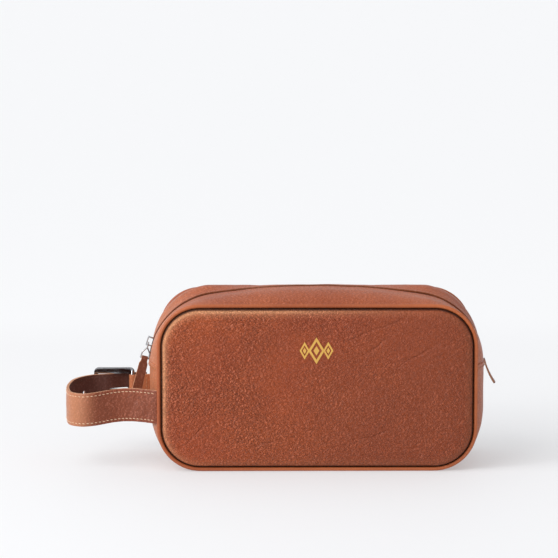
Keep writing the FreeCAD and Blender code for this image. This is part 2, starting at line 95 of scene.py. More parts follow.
# %% Value and Paint
class Value:
    """One output socket of a material; arithmetic on it adds Math nodes."""

    def __init__(self, paint, socket):
        self.paint = paint
        self.socket = socket

    def _math(self, operation, a, b=0.0):
        return self.paint.node("ShaderNodeMath", {"operation": operation}, {0: a, 1: b})

    def __add__(self, other):
        return self._math("ADD", self, other)

    def __sub__(self, other):
        return self._math("SUBTRACT", self, other)

    def __rsub__(self, other):
        return self._math("SUBTRACT", other, self)

    def __mul__(self, other):
        return self._math("MULTIPLY", self, other)

    def __pow__(self, other):
        return self._math("POWER", self, other)

    __radd__ = __add__
    __rmul__ = __mul__


class Paint:
    """A material with a Principled shader, and the one method that adds a node to it."""

    def __init__(self, name):
        self.material = bpy.data.materials.new(name)
        self.material.use_nodes = True
        self.tree = self.material.node_tree
        self.shader = self.tree.nodes["Principled BSDF"]

    def node(self, kind, settings=None, inputs=None, output=0):
        made = self.tree.nodes.new(kind)
        for key, value in (settings or {}).items():
            setattr(made, key, value)
        for key, value in (inputs or {}).items():
            self.put(made.inputs[key], value)
        return Value(self, made.outputs[output])

    def put(self, socket, value):
        if isinstance(value, Value):
            self.tree.links.new(value.socket, socket)
        elif isinstance(value, tuple) and len(value) == 3 and len(socket.default_value) == 4:
            socket.default_value = (*value, 1)
        else:
            socket.default_value = value

    def where(self):
        return self.node("ShaderNodeTexCoord", output="Object")

    def parts(self, vector):
        return [self.node("ShaderNodeSeparateXYZ", {}, {0: vector}, k) for k in range(3)]

    def stretch(self, vector, scale, shift=(0, 0, 0), turn=(0, 0, 0)):
        return self.node("ShaderNodeMapping", {}, {
            "Vector": vector, "Scale": scale, "Location": shift, "Rotation": turn})

    def cloud(self, vector, scale, detail=3.0, rough=0.5):
        return self.node("ShaderNodeTexNoise", {}, {
            "Vector": vector, "Scale": scale, "Detail": detail, "Roughness": rough}, "Fac")

    def cells(self, vector, scale):
        """Distance to the nearest edge between cells."""
        return self.node("ShaderNodeTexVoronoi", {"feature": "DISTANCE_TO_EDGE"}, {
            "Vector": vector, "Scale": scale}, "Distance")

    def warped(self, vector, scale, reach):
        """The same place, wandering by up to reach."""
        drift = self.node("ShaderNodeTexNoise", {}, {
            "Vector": vector, "Scale": scale, "Detail": 2.0}, "Color")
        return self.node("ShaderNodeMix", {"data_type": "VECTOR"}, {0: reach, 4: vector, 5: drift}, 1)

    def ramp(self, value, low, high):
        """0 below low, 1 above high, smooth between."""
        return self.node("ShaderNodeMapRange", {"interpolation_type": "SMOOTHSTEP"}, {
            "Value": value, "From Min": low, "From Max": high})

    def mix(self, factor, a, b):
        return self.node("ShaderNodeMix", {"data_type": "RGBA"}, {0: factor, 6: a, 7: b}, 2)

    def biggest(self, a, b):
        return self.node("ShaderNodeMath", {"operation": "MAXIMUM"}, {0: a, 1: b})

    def size_of(self, value):
        return self.node("ShaderNodeMath", {"operation": "ABSOLUTE"}, {0: value})

    def finish(self, colour, roughness, height=None, distance=0.0003, **fixed):
        self.put(self.shader.inputs["Base Color"], colour)
        self.put(self.shader.inputs["Roughness"], roughness)
        if height is not None:
            bump = self.node("ShaderNodeBump", {}, {"Height": height, "Distance": distance})
            self.put(self.shader.inputs["Normal"], bump)
        for name, value in fixed.items():
            self.put(self.shader.inputs[name.replace("_", " ")], value)
        return self.material


# %% [markdown]
# ## Leather
# Vegetable-tanned leather is never one colour. Its pebbles are small cells with rounded tops; painted
# shade darkens their hollows and the shaded side of each wrinkle, and a painted highlight the lit side.
# Creases and seam grooves get painted shade, rims are rubbed paler, painted light pales what faces the
# upper left and painted shade darkens the panels' lower right, and its wax gives a soft, uneven gloss.
# All of it is worked out from the place on the object, so it needs no unwrapping.

# %% Folds and creases as drawn strokes
def stroke(p, x, z, line):
    """A 0 to 1 mask along one line (x0, z0, x1, z1, width), in millimetres."""
    x0, z0, x1, z1, width = [v * MM for v in line]
    length = math.hypot(x1 - x0, z1 - z0)
    dx, dz = (x1 - x0) / length, (z1 - z0) / length
    along = (x - x0) * dx + (z - z0) * dz
    across = p.size_of((x - x0) * dz - (z - z0) * dx)
    ends = p.ramp(along, 0.0, length * 0.35) * (1.0 - p.ramp(along, length * 0.6, length))
    return (1.0 - p.ramp(across, 0.0, width * 1.8)) * ends


CREASE_WANDER = 0.003


def strokes(p, at, lines):
    """The strongest of several creases, their lines wandering a little."""
    x, _, z = p.parts(p.warped(at, 70.0, 2 * CREASE_WANDER))
    drawn = [stroke(p, x - CREASE_WANDER, z - CREASE_WANDER, line) for line in lines]
    total = drawn[0]
    for one in drawn[1:]:
        total = p.biggest(total, one)
    return total


# %% Leather paint
WRINKLE_STEP = 0.00050


def lit_side(p, at, scale):
    """How far a fine relief faces up and to the left: above 0 on the lit side of each wrinkle."""
    beyond = p.stretch(at, (1.0, 1.0, 1.0), (WRINKLE_STEP, 0.0, -WRINKLE_STEP))
    return p.cloud(beyond, scale, 2.0, 0.5) - p.cloud(at, scale, 2.0, 0.5)


def shaded(colour, by, more=0.0):
    """A fixed colour made darker or lighter."""
    return tuple(min(by * c + more, 1.0) for c in colour)


# The paler hide for rubbed wear and for painted light.
WORN_AND_LIT_HIDE = (0.72, 0.33, 0.16)


def leather(name, light, dark, grain, cell=430.0, gloss=0.31, lift=0.0003,
            edge=None, smoothing_and_shade=None, creases=None, groove_shade=None):
    """Pebbled leather between two dye colours; the last four are functions that return masks."""
    p = Paint(name)
    at = p.where()
    # Pebbles and wrinkles on a wandering, slightly stretched place; strong in some patches only.
    drawn = p.stretch(p.warped(at, 210.0, 0.0045), (1.0, 1.0, 1.45), turn=(0.0, 0.55, 0.0))
    pebble = p.ramp(p.cells(drawn, cell), 0.02, 0.20)
    fine = p.cloud(drawn, cell * 1.25, 3.0, 0.6)
    slant = lit_side(p, drawn, cell)
    weather = p.cloud(at, 95.0, 5.0, 0.65)
    strength = (0.35 + 0.65 * p.ramp(p.cloud(at, 13.0, 2.0), 0.30, 0.58)) * grain
    if smoothing_and_shade:
        calm = smoothing_and_shade(p, at)
        strength = strength * (1.0 - calm * 0.65)
    height = pebble * 0.6 * strength + fine * 0.9 * grain + weather * 0.5
    # Dye in slow clouds, then painted shade in the hollows and painted highlights on the wrinkles.
    dye = p.cloud(at, 7.0, 3.0, 0.5) * 0.85 + p.cloud(at, 40.0, 3.0, 0.55) * 0.22
    colour = p.mix(p.ramp(dye, 0.36, 0.72), dark, light)
    # Painted shade: darker towards the lower right of the panels, away from the light.
    if smoothing_and_shade:
        colour = p.mix(calm * 0.80, colour, shaded(dark, 0.60))
    # Painted shade on each wrinkle's shaded side and in the hollows; a painted highlight on its lit
    # side.
    valley = (p.ramp(0.0 - slant, 0.01, 0.15) * 0.75 + (1.0 - pebble) * 0.25) * strength
    colour = p.mix(valley * 0.86, colour, shaded(dark, 0.36))
    colour = p.mix(p.ramp(slant, 0.02, 0.17) * strength * 0.80, colour, shaded(light, 1.25, 0.075))
    # Marks of use and of sewing, with painted shade in creases and grooves and painted light on rims.
    if creases:
        folds = creases(p, at)
        height = height - folds * 0.45
        # A little painted shade along the creases.
        colour = p.mix(folds * 0.08, colour, shaded(dark, 0.5))
    # Rubbed wear, and painted light where the hide faces the upper left, make it paler.
    if edge:
        colour = p.mix(edge(p, at), colour, WORN_AND_LIT_HIDE)
    # Painted shade in the seam grooves.
    if groove_shade:
        colour = p.mix(groove_shade(p, at) * 0.94, colour, shaded(dark, 0.12))
    rough = gloss + 0.16 * weather + 0.12 * (1.0 - pebble)
    return p.finish(colour, rough, height, lift, Specular_IOR_Level=0.36)


# %% Masks for wear, valleys and creases
SEAM_Y = 0.0500          # the piped seams' distance from the middle of the bag
PANEL_LOW, PANEL_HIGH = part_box("front_panel")
PANEL_MIDDLE = (PANEL_LOW.z + PANEL_HIGH.z) / 2
PANEL_HALF = ((PANEL_HIGH.x - PANEL_LOW.x) / 2, (PANEL_HIGH.z - PANEL_LOW.z) / 2)
PANEL_CORNER = 0.0325


def inside_rim(p, at):
    """How far a point lies inside the panel's outline, below 0 beyond it."""
    x, _, z = p.parts(at)
    middle_x = (PANEL_HIGH.x + PANEL_LOW.x) / 2
    dx = p.biggest(p.size_of(x - middle_x) - (PANEL_HALF[0] - PANEL_CORNER), 0.0)
    dz = p.biggest(p.size_of(z - PANEL_MIDDLE) - (PANEL_HALF[1] - PANEL_CORNER), 0.0)
    return PANEL_CORNER - (dx ** 2.0 + dz ** 2.0) ** 0.5


def panel_rim_wear_and_highlight(p, at):
    """Rubbed wear along the rolled rim, and a painted highlight on it that is strongest at the upper
    left.
    """
    x, _, z = p.parts(at)
    # worn grows towards the upper left, where the rim faces the light and gets its painted highlight.
    worn = p.ramp((z - 0.07) * 1.2 - x, -0.02, 0.17)
    inside = inside_rim(p, at) + p.cloud(at, 90.0, 3.0) * 0.003 - 0.0015
    broad = (1.0 - p.ramp(inside, 0.0022, 0.0095)) * (0.05 + worn * 0.27)
    return broad + (1.0 - p.ramp(inside_rim(p, at), 0.0024, 0.0046)) * worn * 0.45


def panel_groove_shade(p, at):
    """Painted shade in the valley where the panel's rim meets the piping."""
    return 1.0 - p.ramp(inside_rim(p, at), 0.0006, 0.0020)


def piping_groove_shade(p, at):
    """Painted shade on the piping's side turned towards the panel, which lies in the same valley."""
    return p.ramp(inside_rim(p, at), -0.0012, 0.0004)


def gusset_seam_shade(p, at):
    """A thin line of painted shade where the gusset runs in under the piping."""
    _, y, _ = p.parts(at)
    return p.ramp(p.size_of(y), SEAM_Y - 0.0030, SEAM_Y - 0.0016) * 0.75


def lit_left_end(p, at, full, none, amount):
    """Painted light towards the strap side, which faces the light: full left of one place, none right of
    another.
    """
    x, _, _ = p.parts(at)
    return (1.0 - p.ramp(x, full, none)) * amount


def gusset_painted_light(p, at):
    """Painted light: the zip side is paler towards the strap, where it turns down and faces the light.
    """
    return lit_left_end(p, at, -0.148, -0.095, 0.26)


def panel_smoothing_and_shade(p, at):
    """The hide grows smoother towards the lower right of the bag, and painted shade makes it darker
    there.
    """
    x, _, z = p.parts(at)
    slope = (x + 0.05) * 5.0 - (z - 0.07) * 2.4 + p.cloud(at, 16.0, 3.0) * 0.9
    return p.ramp(slope, 0.1, 1.15)


def panel_creases(p, at):
    """Long soft handling creases: a fan at the lower left and a few across the upper right."""
    return strokes(p, at, (
        (-118, 42, -88, 78, 0.9), (-112, 20, -86, 47, 0.8), (-120, 64, -96, 84, 0.7),
        (18, 108, 62, 126, 1.0), (34, 96, 66, 118, 0.9), (40, 118, 78, 130, 0.8),
        (58, 84, 108, 112, 0.9), (-60, 20, -22, 30, 1.0), (20, 24, 72, 38, 1.0),
    ))


def strap_painted_light(p, at):
    """Painted light: the hide is paler where the strap turns back on itself and faces the light."""
    return lit_left_end(p, at, -0.2050, -0.1800, 0.34)


def strap_creases(p, at):
    """Creases across the strap where it bends out of the front seam."""
    return strokes(p, at, (
        (-141, 37, -142, 66, 0.9), (-146, 36, -144, 62, 0.9), (-149, 44, -151, 68, 1.0),
        (-153, 36, -152, 60, 0.8), (-157, 44, -158, 66, 0.8), (-144, 52, -150, 66, 0.7),
    ))


# %% The six leathers
panel_leather = leather("panel_leather", (0.450, 0.088, 0.015), (0.300, 0.048, 0.008), 1.0, 470.0,
                        lift=0.0014, edge=panel_rim_wear_and_highlight, smoothing_and_shade=panel_smoothing_and_shade, creases=panel_creases,
                        groove_shade=panel_groove_shade)
gusset_leather = leather("gusset_leather", (0.40, 0.084, 0.014), (0.27, 0.048, 0.008), 0.60,
                         edge=gusset_painted_light, groove_shade=gusset_seam_shade)
piping_leather = leather("piping_leather", (0.43, 0.112, 0.034), (0.29, 0.064, 0.018), 0.16,
                         gloss=0.30, lift=0.0002, groove_shade=piping_groove_shade)
strap_leather = leather("strap_leather", (0.29, 0.064, 0.018), (0.175, 0.036, 0.011), 0.55,
                        edge=strap_painted_light, creases=strap_creases)
# The strap's lining is painted much darker than its face: painted shade for the inside of the loop.
strap_inside_shade = leather("strap_inside_shade", (0.115, 0.034, 0.020), (0.070, 0.020, 0.013), 0.3, gloss=0.55)
pull_leather = leather("pull_leather", (0.250, 0.066, 0.022), (0.150, 0.036, 0.013), 0.4, lift=0.0002)


# %% [markdown]
# ## Cloth, nylon, thread and metal
# The lining is a plain weave of two crossing thread sets. The zip tape is a herringbone, the
# thread is waxed and twisted, and the metal is plated, with fine scratches in its gloss.

# %% The other paints
def woven(name, light, dark, pitch):
    """Two crossing sets of threads."""
    p = Paint(name)
    x, y, z = p.parts(p.where())
    turns = 2 * math.pi / pitch
    wave = {"operation": "SINE"}
    across = p.node("ShaderNodeMath", wave, {0: (x + z) * turns})
    along = p.node("ShaderNodeMath", wave, {0: (y + z * 0.5) * turns})
    weave = across * along * 0.5 + 0.5
    colour = p.mix(p.ramp(weave, 0.2, 0.8), dark, light)
    return p.finish(colour, 0.85, weave, 0.0002, Specular_IOR_Level=0.2)


def plain(name, light, dark, scale, roughness, height=0.4, **fixed):
    """A simple finish: two close colours in soft clouds, and a faint relief."""
    p = Paint(name)
    at = p.where()
    cloud = p.cloud(at, scale, 4.0)
    colour = p.mix(p.ramp(cloud, 0.3, 0.7), dark, light)
    rough = roughness + p.cloud(at, scale * 3, 3.0) * 0.12
    return p.finish(colour, rough, cloud * height, 0.0001, **fixed)


def plated(name, colour, roughness, scratch=0.10):
    """Polished metal with hair scratches and a light haze."""
    p = Paint(name)
    at = p.where()
    drawn = p.stretch(at, (0.08, 1.0, 1.0), turn=(0.0, 0.5, 0.2))
    lines = p.ramp(p.cloud(drawn, 2600.0, 2.0), 0.55, 0.75)
    haze = p.ramp(p.cloud(at, 160.0, 4.0), 0.4, 0.8)
    tint = p.mix(haze * 0.35, colour, shaded(colour, 0.72))
    rough = roughness + lines * scratch + haze * 0.10
    return p.finish(tint, rough, lines * 0.2, 0.00003, Metallic=1.0)


lining_cloth = woven("lining_cloth", (0.11, 0.075, 0.055), (0.045, 0.030, 0.024), 0.0011)
zip_cloth = woven("zip_cloth", (0.060, 0.030, 0.022), (0.020, 0.011, 0.009), 0.0008)
coil_nylon = plain("coil_nylon", (0.055, 0.030, 0.022), (0.030, 0.016, 0.012), 300.0, 0.38)
cream_thread = plain("cream_thread", (0.78, 0.56, 0.38), (0.62, 0.40, 0.25), 2500.0, 0.75, 2.0)
dark_thread = plain("dark_thread", (0.13, 0.050, 0.028), (0.07, 0.026, 0.016), 2500.0, 0.75, 2.0)
tan_thread = plain("tan_thread", (0.52, 0.25, 0.12), (0.36, 0.15, 0.07), 2500.0, 0.75, 2.0)
raw_edge = plain("raw_edge", (0.62, 0.33, 0.19), (0.42, 0.18, 0.09), 700.0, 0.7, 1.5)
bright_nickel = plated("bright_nickel", (0.42, 0.42, 0.43), 0.12)
buckle_nickel = plated("buckle_nickel", (0.34, 0.34, 0.35), 0.09)
gold_foil = plated("gold_foil", (0.80, 0.47, 0.12), 0.34, 0.2)


# %% [markdown]
# ## Helpers for modelling by hand
# An operator acts on everything that is selected, so each step starts by clearing the selection.
# A new piece always ends at the origin, with its place in its mesh, and many ride on a body.

# %% Small tools
def only(piece):
    """Selects one object and makes it the active one."""
    bpy.ops.object.select_all(action="DESELECT")
    piece.hide_viewport = False
    piece.select_set(True)
    bpy.context.view_layer.objects.active = piece


def modify(piece, kind, **settings):
    """Adds one modifier and applies it at once."""
    only(piece)
    made = piece.modifiers.new(kind.lower(), kind)
    for key, value in settings.items():
        setattr(made, key, value)
    bpy.ops.object.modifier_apply(modifier=made.name)


def edit(piece, mode="VERT"):
    """Opens a mesh for editing with everything selected."""
    only(piece)
    bpy.ops.object.mode_set(mode="EDIT")
    bpy.ops.mesh.select_mode(type=mode)
    bpy.ops.mesh.select_all(action="SELECT")


def done():
    bpy.ops.object.mode_set(mode="OBJECT")


def started(add, **settings):
    """The new object that an adding operator makes, with nothing else selected."""
    bpy.ops.object.select_all(action="DESELECT")
    add(**settings)
    return bpy.context.object


def settle(piece):
    """Puts a piece's place into its mesh."""
    only(piece)
    bpy.ops.object.transform_apply(location=True, rotation=True, scale=True)


def outward(piece):
    """Turns a closed piece's faces outwards."""
    edit(piece)
    bpy.ops.mesh.remove_doubles(threshold=0.00002)
    bpy.ops.mesh.normals_make_consistent(inside=False)
    done()


def rounded(piece, width, segments, degrees):
    """Rounds every edge sharper than an angle."""
    modify(piece, "BEVEL", width=width, segments=segments, limit_method="ANGLE",
           angle_limit=math.radians(degrees), use_clamp_overlap=True)


def shade(piece, degrees=40):
    only(piece)
    bpy.ops.object.shade_smooth_by_angle(angle=math.radians(degrees))


def dress(piece, name, paint, slot, body, *nodes):
    """Names and paints a finished piece, and lets it ride on a body in place of CAD nodes."""
    piece.name = name
    piece.data.materials.clear()
    piece.data.materials.append(paint)
    if body:
        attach(piece, body)
    if nodes:
        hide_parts(*nodes)
    print(f"{name}: {len(piece.data.polygons)} faces")
    return piece


def joined(pieces):
    """One object from several."""
    bpy.ops.object.select_all(action="DESELECT")
    for piece in pieces:
        piece.select_set(True)
    bpy.context.view_layer.objects.active = pieces[0]
    bpy.ops.object.join()
    return pieces[0]


def copied(node):
    """A loose copy of a CAD node, its doubles merged, to be worked further."""
    source = frame["nodes"][node]
    twin = source.copy()
    twin.data = source.data.copy()
    twin.parent = None
    for key in list(twin.keys()):
        del twin[key]
    bpy.context.scene.collection.objects.link(twin)
    edit(twin)
    bpy.ops.mesh.remove_doubles(threshold=0.00001)
    done()
    return twin


# %% [markdown]
# ## The bag's form
# The bag is a rounded box that bulges between its two piped seams. Its outline across the bag is
# a flat base, straight sides, round corners and a gently arched top. Near the seams the outline
# is smaller and its corners are tighter. One function walks along half of that outline, so each
# flat-cut strip of leather can be laid on it at its true length.

# %% Outline of the bag
LIP_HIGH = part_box("front_lip")[1]
PIPE_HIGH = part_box("front_piping")[1]
PIPE_R = 0.0018
EDGE_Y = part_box("lower_gusset")[1].y
CREST_Y = 0.016
MID = {"half": 0.1405, "top": LIP_HIGH.z, "low_r": 0.052, "top_r": 0.060, "bend": 1 / 0.70}
RIM = {"half": PIPE_HIGH.x - PIPE_R, "top": PIPE_HIGH.z - PIPE_R, "low_r": 0.0335,
       "top_r": 0.0345, "bend": 1 / 6.0}
EASE = {"half": 2.0, "top": 1.7, "low_r": 1.05, "top_r": 1.3, "bend": 0.9}
SPLIT_Z = 0.088


def sizes_at(y):
    """The outline's sizes at a distance from the middle of the bag."""
    share = min(max((abs(y) - CREST_Y) / (EDGE_Y - CREST_Y), 0.0), 1.0)
    return {k: MID[k] + (RIM[k] - MID[k]) * share ** EASE[k] for k in MID}


def legs_at(y):
    """Half an outline from the middle of the base: (length, centre, radius, start angle) of each leg."""
    s = sizes_at(y)
    arch = 1 / s["bend"]
    arch_z = s["top"] - arch
    cx = s["half"] - s["top_r"]
    cz = arch_z + math.sqrt((arch - s["top_r"]) ** 2 - cx ** 2)
    lean = math.atan2(cx, cz - arch_z)
    flat = s["half"] - s["low_r"]
    return [
        (flat, (0.0, 0.0), None, (1, 0)),
        (s["low_r"] * math.pi / 2, (flat, s["low_r"]), s["low_r"], -math.pi / 2),
        (cz - s["low_r"], (s["half"], s["low_r"]), None, (0, 1)),
        (s["top_r"] * (math.pi / 2 - lean), (cx, cz), s["top_r"], 0.0),
        (arch * lean, (0.0, arch_z), arch, math.pi / 2 - lean),
    ]


def along(legs, length):
    """The point (x, z) at a length along half an outline."""
    for size, centre, radius, start in legs:
        if length <= size or radius and radius > 0.3:
            if radius is None:
                return centre[0] + start[0] * length, centre[1] + start[1] * length
            angle = start + length / radius
            return centre[0] + radius * math.cos(angle), centre[1] + radius * math.sin(angle)
        length -= size


def whole_length(legs):
    return sum(leg[0] for leg in legs)


def split_length(legs):
    """The length along half an outline at which it reaches the zip strip's lower end."""
    run = legs[0][0] + legs[1][0]
    _, (_, cz), radius, _ = legs[3]
    if SPLIT_Z <= cz:
        return run + SPLIT_Z - legs[2][1][1]
    return run + legs[2][0] + radius * math.asin((SPLIT_Z - cz) / radius)


TOP_RISE = 0.0002


def sag(p):
    """Where the top of the front face stands a little higher, left of the middle."""
    near = math.exp(-((p.x + 0.045) / 0.075) ** 2)
    high = min(max((p.z - 0.085) / 0.055, 0.0), 1.0)
    front = min(max((0.020 - p.y) / 0.05, 0.0), 1.0)
    return Vector((p.x, p.y, p.z + TOP_RISE * near * high * high * front))


def relief(p, size, scale):
    """Soft unevenness of worked leather."""
    return size * noise.noise(p * scale) + 0.5 * size * noise.noise(p * scale * 2.1 + Vector((7, 3, 1)))


def eased(v, points):
    """A value between given (place, value) pairs."""
    for (v0, w0), (v1, w1) in zip(points, points[1:]):
        if v <= v1:
            return w0 + (w1 - w0) * max((v - v0) / (v1 - v0), 0.0)
    return points[-1][1]


# How much of each change there is across the bag (metres) and along the strip (shares of its half).
SLUMP_DEPTH = 0.0015
SLUMP_ACROSS = ((-0.048, 0.0), (-0.038, 0.30), (-0.028, 0.70), (-0.016, 0.96), (-0.008, 0.98),
                (0.0, 0.86), (0.008, 0.50), (0.016, 0.16), (0.024, 0.0))
SLUMP_ALONG = ((0.0, 0.10), (0.28, 0.25), (0.55, 1.0), (0.70, 0.80), (0.91, 0.12), (2.0, 0.12))
PUFF_DEPTH = 0.0030
PUFF_ACROSS = ((0.0, 0.0), (0.006, 0.30), (0.016, 0.92), (0.024, 1.0), (0.034, 0.62),
               (0.044, 0.10), (0.048, 0.0))
PUFF_ALONG = ((0.0, -0.50), (0.28, -0.30), (0.55, 1.0), (0.74, 0.45), (0.95, 0.0), (2.0, 0.0))


def slump(u, y):
    """How far the worn zip side has settled inwards, and its rear shoulders have filled out."""
    sunk = SLUMP_DEPTH * eased(y, SLUMP_ACROSS) * eased(abs(u), SLUMP_ALONG)
    return sunk - (PUFF_DEPTH * eased(y, PUFF_ACROSS) * eased(abs(u), PUFF_ALONG) if y > 0 else 0.0)


U_STEP, Y_STEP = 0.002, 0.0004       # to a neighbouring point, for the direction outwards


class Form:
    """Points of the bag's outer face, by a share of the half outline and the distance across."""

    def __init__(self, over):
        self.over = over
        self.cache = {}

    def raw(self, u, y):
        key = round(y, 6)
        if key not in self.cache:
            legs = legs_at(y)
            self.cache[key] = legs, split_length(legs), whole_length(legs)
        legs, split, whole = self.cache[key]
        length = whole - abs(u) * (whole - split) if self.over else abs(u) * split
        x, z = along(legs, length)
        return Vector((math.copysign(x, u), y, z))

    def point(self, u, y, depth=0.0):
        """The point at share u (-1 left end, 0 middle, 1 right end), sunk by depth."""
        if self.over:
            depth += slump(u, y)
        u_in = u - math.copysign(U_STEP, u) if abs(u) > 0.5 else u + U_STEP
        y_in = y - math.copysign(Y_STEP, y)
        p = self.raw(u, y)
        run = (self.raw(u_in, y) - p) * (1 if u_in > u else -1)
        side = (self.raw(u, y_in) - p) * (1 if y_in > y else -1)
        normal = run.cross(side).normalized()
        if not self.over:
            normal = -normal
        return p - normal * depth

    def frame(self, u, y, depth, ahead):
        """The point with the directions along the outline, across it and outwards."""
        here = self.point(u, y, depth)
        out = (here - self.point(u, y, depth + 0.001)).normalized()
        run = (self.point(u + ahead, y, depth) - here).normalized()
        return here, run, out.cross(run).normalized(), out


OVER = Form(True)
UNDER = Form(False)
strip_length = 2 * (whole_length(legs_at(0)) - split_length(legs_at(0)))
print("zip strip length, mm:", round(1000 * strip_length))


# %% [markdown]
# ## Leather skins laid on the form
# A strip is cut flat, so it starts as a flat grid with enough cuts to bend. Every point of the grid
# is then laid on the form, and Solidify and Bevel give it the leather's thickness and a folded,
# rounded edge. Its faces are turned away from the middle of the bag first, because Solidify
# thickens against the side that a face looks to.

# %% Lay a flat strip on the form
BAG_MIDDLE = Vector((0, 0, 0.07))


def skin(cuts, place, middle=BAG_MIDDLE):
    """A grid of cuts[0] by cuts[1] faces, laid by place(a, b), that looks away from the middle."""
    piece = started(bpy.ops.mesh.primitive_grid_add, x_subdivisions=cuts[0], y_subdivisions=cuts[1],
                    size=2)
    for vertex in piece.data.vertices:
        vertex.co = place(vertex.co.x, vertex.co.y)
    looks = sum(face.normal.dot(face.center - middle) * face.area for face in piece.data.polygons)
    if looks < 0:
        edit(piece)
        bpy.ops.mesh.flip_normals()
        done()
    return piece


def thicken(piece, thickness, rounding, segments=3, outwards=False):
    """Gives a skin its leather's thickness, inwards unless asked, and rounds its cut edges."""
    modify(piece, "SOLIDIFY", thickness=thickness, offset=1 if outwards else -1, use_even_offset=False)
    if rounding:
        rounded(piece, rounding, segments, 50)
    shade(piece)
    return piece


def cut_edges(piece, paint, test):
    """Paints the faces that pass a test in a second paint."""
    piece.data.materials.append(paint)
    for face in piece.data.polygons:
        if test(face):
            face.material_index = 1


# %% Repeat one small shape along a line
def repeated(shape, places):
    """One mesh of a small shape at every place, each place a matrix."""
    points, faces = [], []
    for place in places:
        start = len(points)
        points += [place @ v.co for v in shape.data.vertices]
        faces += [[start + k for k in face.vertices] for face in shape.data.polygons]
    mesh = bpy.data.meshes.new("row")
    mesh.from_pydata(points, [], faces)
    piece = bpy.data.objects.new("row", mesh)
    bpy.context.scene.collection.objects.link(piece)
    shade(piece, 60)
    return piece


def matrix_of(place, right, up, out):
    """A placing matrix from a point and three directions."""
    return Matrix.Translation(place) @ Matrix((right, up, out)).transposed().to_4x4()


def add_stitch():
    """One sewn stitch: a short round thread, thicker in the middle, lying along X."""
    stitch = started(bpy.ops.mesh.primitive_uv_sphere_add, segments=6, ring_count=5, radius=1,
                     rotation=(0, math.pi / 2, 0))
    stitch.scale = (0.30 * MM, 0.30 * MM, 1.15 * MM)
    settle(stitch)
    return stitch


# %% [markdown]
# ## Zip strips
# Each side of the zip has one long strip of leather. The bag opens where the middle of that strip
# lifts away, so each strip is made whole, with its thickness and rounded folds, and is then cut
# through the middle with Bisect.

# %% Zip strips of leather
ZIP_SLOT = 0.0019
FOLD_WIDTH = 0.0040
FOLD_RISE = {-1: 0.0003, 1: 0.0011}      # the rear fold stands a little prouder than the front one
BEND_START = 0.112       # from the middle of the bag: here a strip starts to lift
BEND_END = 0.028         # and from here inwards it lifts fully
STRIP_SEAM_Y = 0.0487
SIDES = (("front", -1), ("rear", 1))
HALVES = (("left", -1), ("right", 1))


def spread(share, near, far, power=1.35):
    """A distance across between near and far, closer together near the zip."""
    return near + (far - near) * share ** power


def strip_place(side):
    """Lays the grid's a along the whole strip and its b from the fold to the seam."""
    def place(a, b):
        y = spread((b + 1) / 2, ZIP_SLOT, STRIP_SEAM_Y)
        fold = max(0.0, 1 - abs(y - FOLD_WIDTH / 2) / FOLD_WIDTH)
        roll = max(0.0, (y - 0.0470) / 0.0017)
        depth = -FOLD_RISE[side] * fold ** 0.7 + 0.0012 * roll ** 2
        p = OVER.point(a, side * y, depth)
        return sag(p - Vector((0, 0, 1)) * relief(p, 0.00022, 60))
    return place


def layer_place(side, near, far, depth):
    """Lays an inner layer under the strip."""
    def place(a, b):
        return sag(OVER.point(a, side * (near + (far - near) * (b + 1) / 2), depth))
    return place


def split_in_half(piece):
    """Cuts a closed piece through the middle of the bag: its left half and its right half."""
    twin = piece.copy()
    twin.data = piece.data.copy()
    bpy.context.scene.collection.objects.link(twin)
    for half, outer in ((piece, True), (twin, False)):
        edit(half)
        bpy.ops.mesh.bisect(plane_co=(0, 0, 0), plane_no=(1, 0, 0), use_fill=True,
                            clear_outer=outer, clear_inner=not outer, threshold=0.000001)
        done()
        shade(half, 40)
    return piece, twin


def bend(piece, half):
    """Puts a strip half's place into its mesh."""
    half * BEND_START
    half * BEND_END
    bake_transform(piece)


def place_halves(whole, side_name, title, paint, slot, nodes):
    """Splits a strip, names and paints its halves, and puts each half's place into its mesh."""
    for piece, (half_name, half) in zip(split_in_half(whole), HALVES):
        stands_for = [f"{side_name}_lip{nodes}", f"{side_name}_strip{nodes}_ends"]
        dress(piece, f"{side_name}_{title}_{half_name}", paint, slot, None, *stands_for)
        if title == "zip_strip":
            # The fold faces that look into the zip's gap get the darker pull leather: painted shade in
            # the gap.
            cut_edges(piece, pull_leather, lambda face: abs(face.center.y) < ZIP_SLOT + 0.00035
                      and abs(face.normal.y) > 0.55)
        bend(piece, half)


for side_name, side in SIDES:
    strip = thicken(skin((184, 30), strip_place(side)), 0.0017, 0.0004)
    place_halves(strip, side_name, "zip_strip", gusset_leather, "gusset_leather", "")
    tape = skin((150, 5), layer_place(side, 0.0009, 0.0139, 0.00296))
    place_halves(thicken(tape, 0.00042, 0), side_name, "zip_tape", zip_cloth, "zip_tape", "_tape")
    cloth = thicken(skin((150, 10), layer_place(side, 0.0143, 0.0470, 0.00298)), 0.00040, 0)
    place_halves(cloth, side_name, "strip_lining", lining_cloth, "lining_fabric", "_lining")

# %% [markdown]
# ## Zip teeth
# A nylon coil zip is a spiral of wire sewn to the tape. One turn is a small ring, flattened and
# tilted, and it is repeated at the coil's pitch along the same line as the strip.

# %% One turn of the coil, repeated
COIL_PITCH = 0.0015
COIL_Y = 0.00115         # the two coils reach past the middle and mesh with each other
COIL_DEPTH = 0.00442
COIL_LEAN = 0.22


def add_turn():
    turn = started(bpy.ops.mesh.primitive_torus_add, major_segments=9, minor_segments=4,
                   major_radius=0.76 * MM, minor_radius=0.27 * MM)
    turn.scale = (1.75, 0.92, 1.0)
    settle(turn)
    return turn


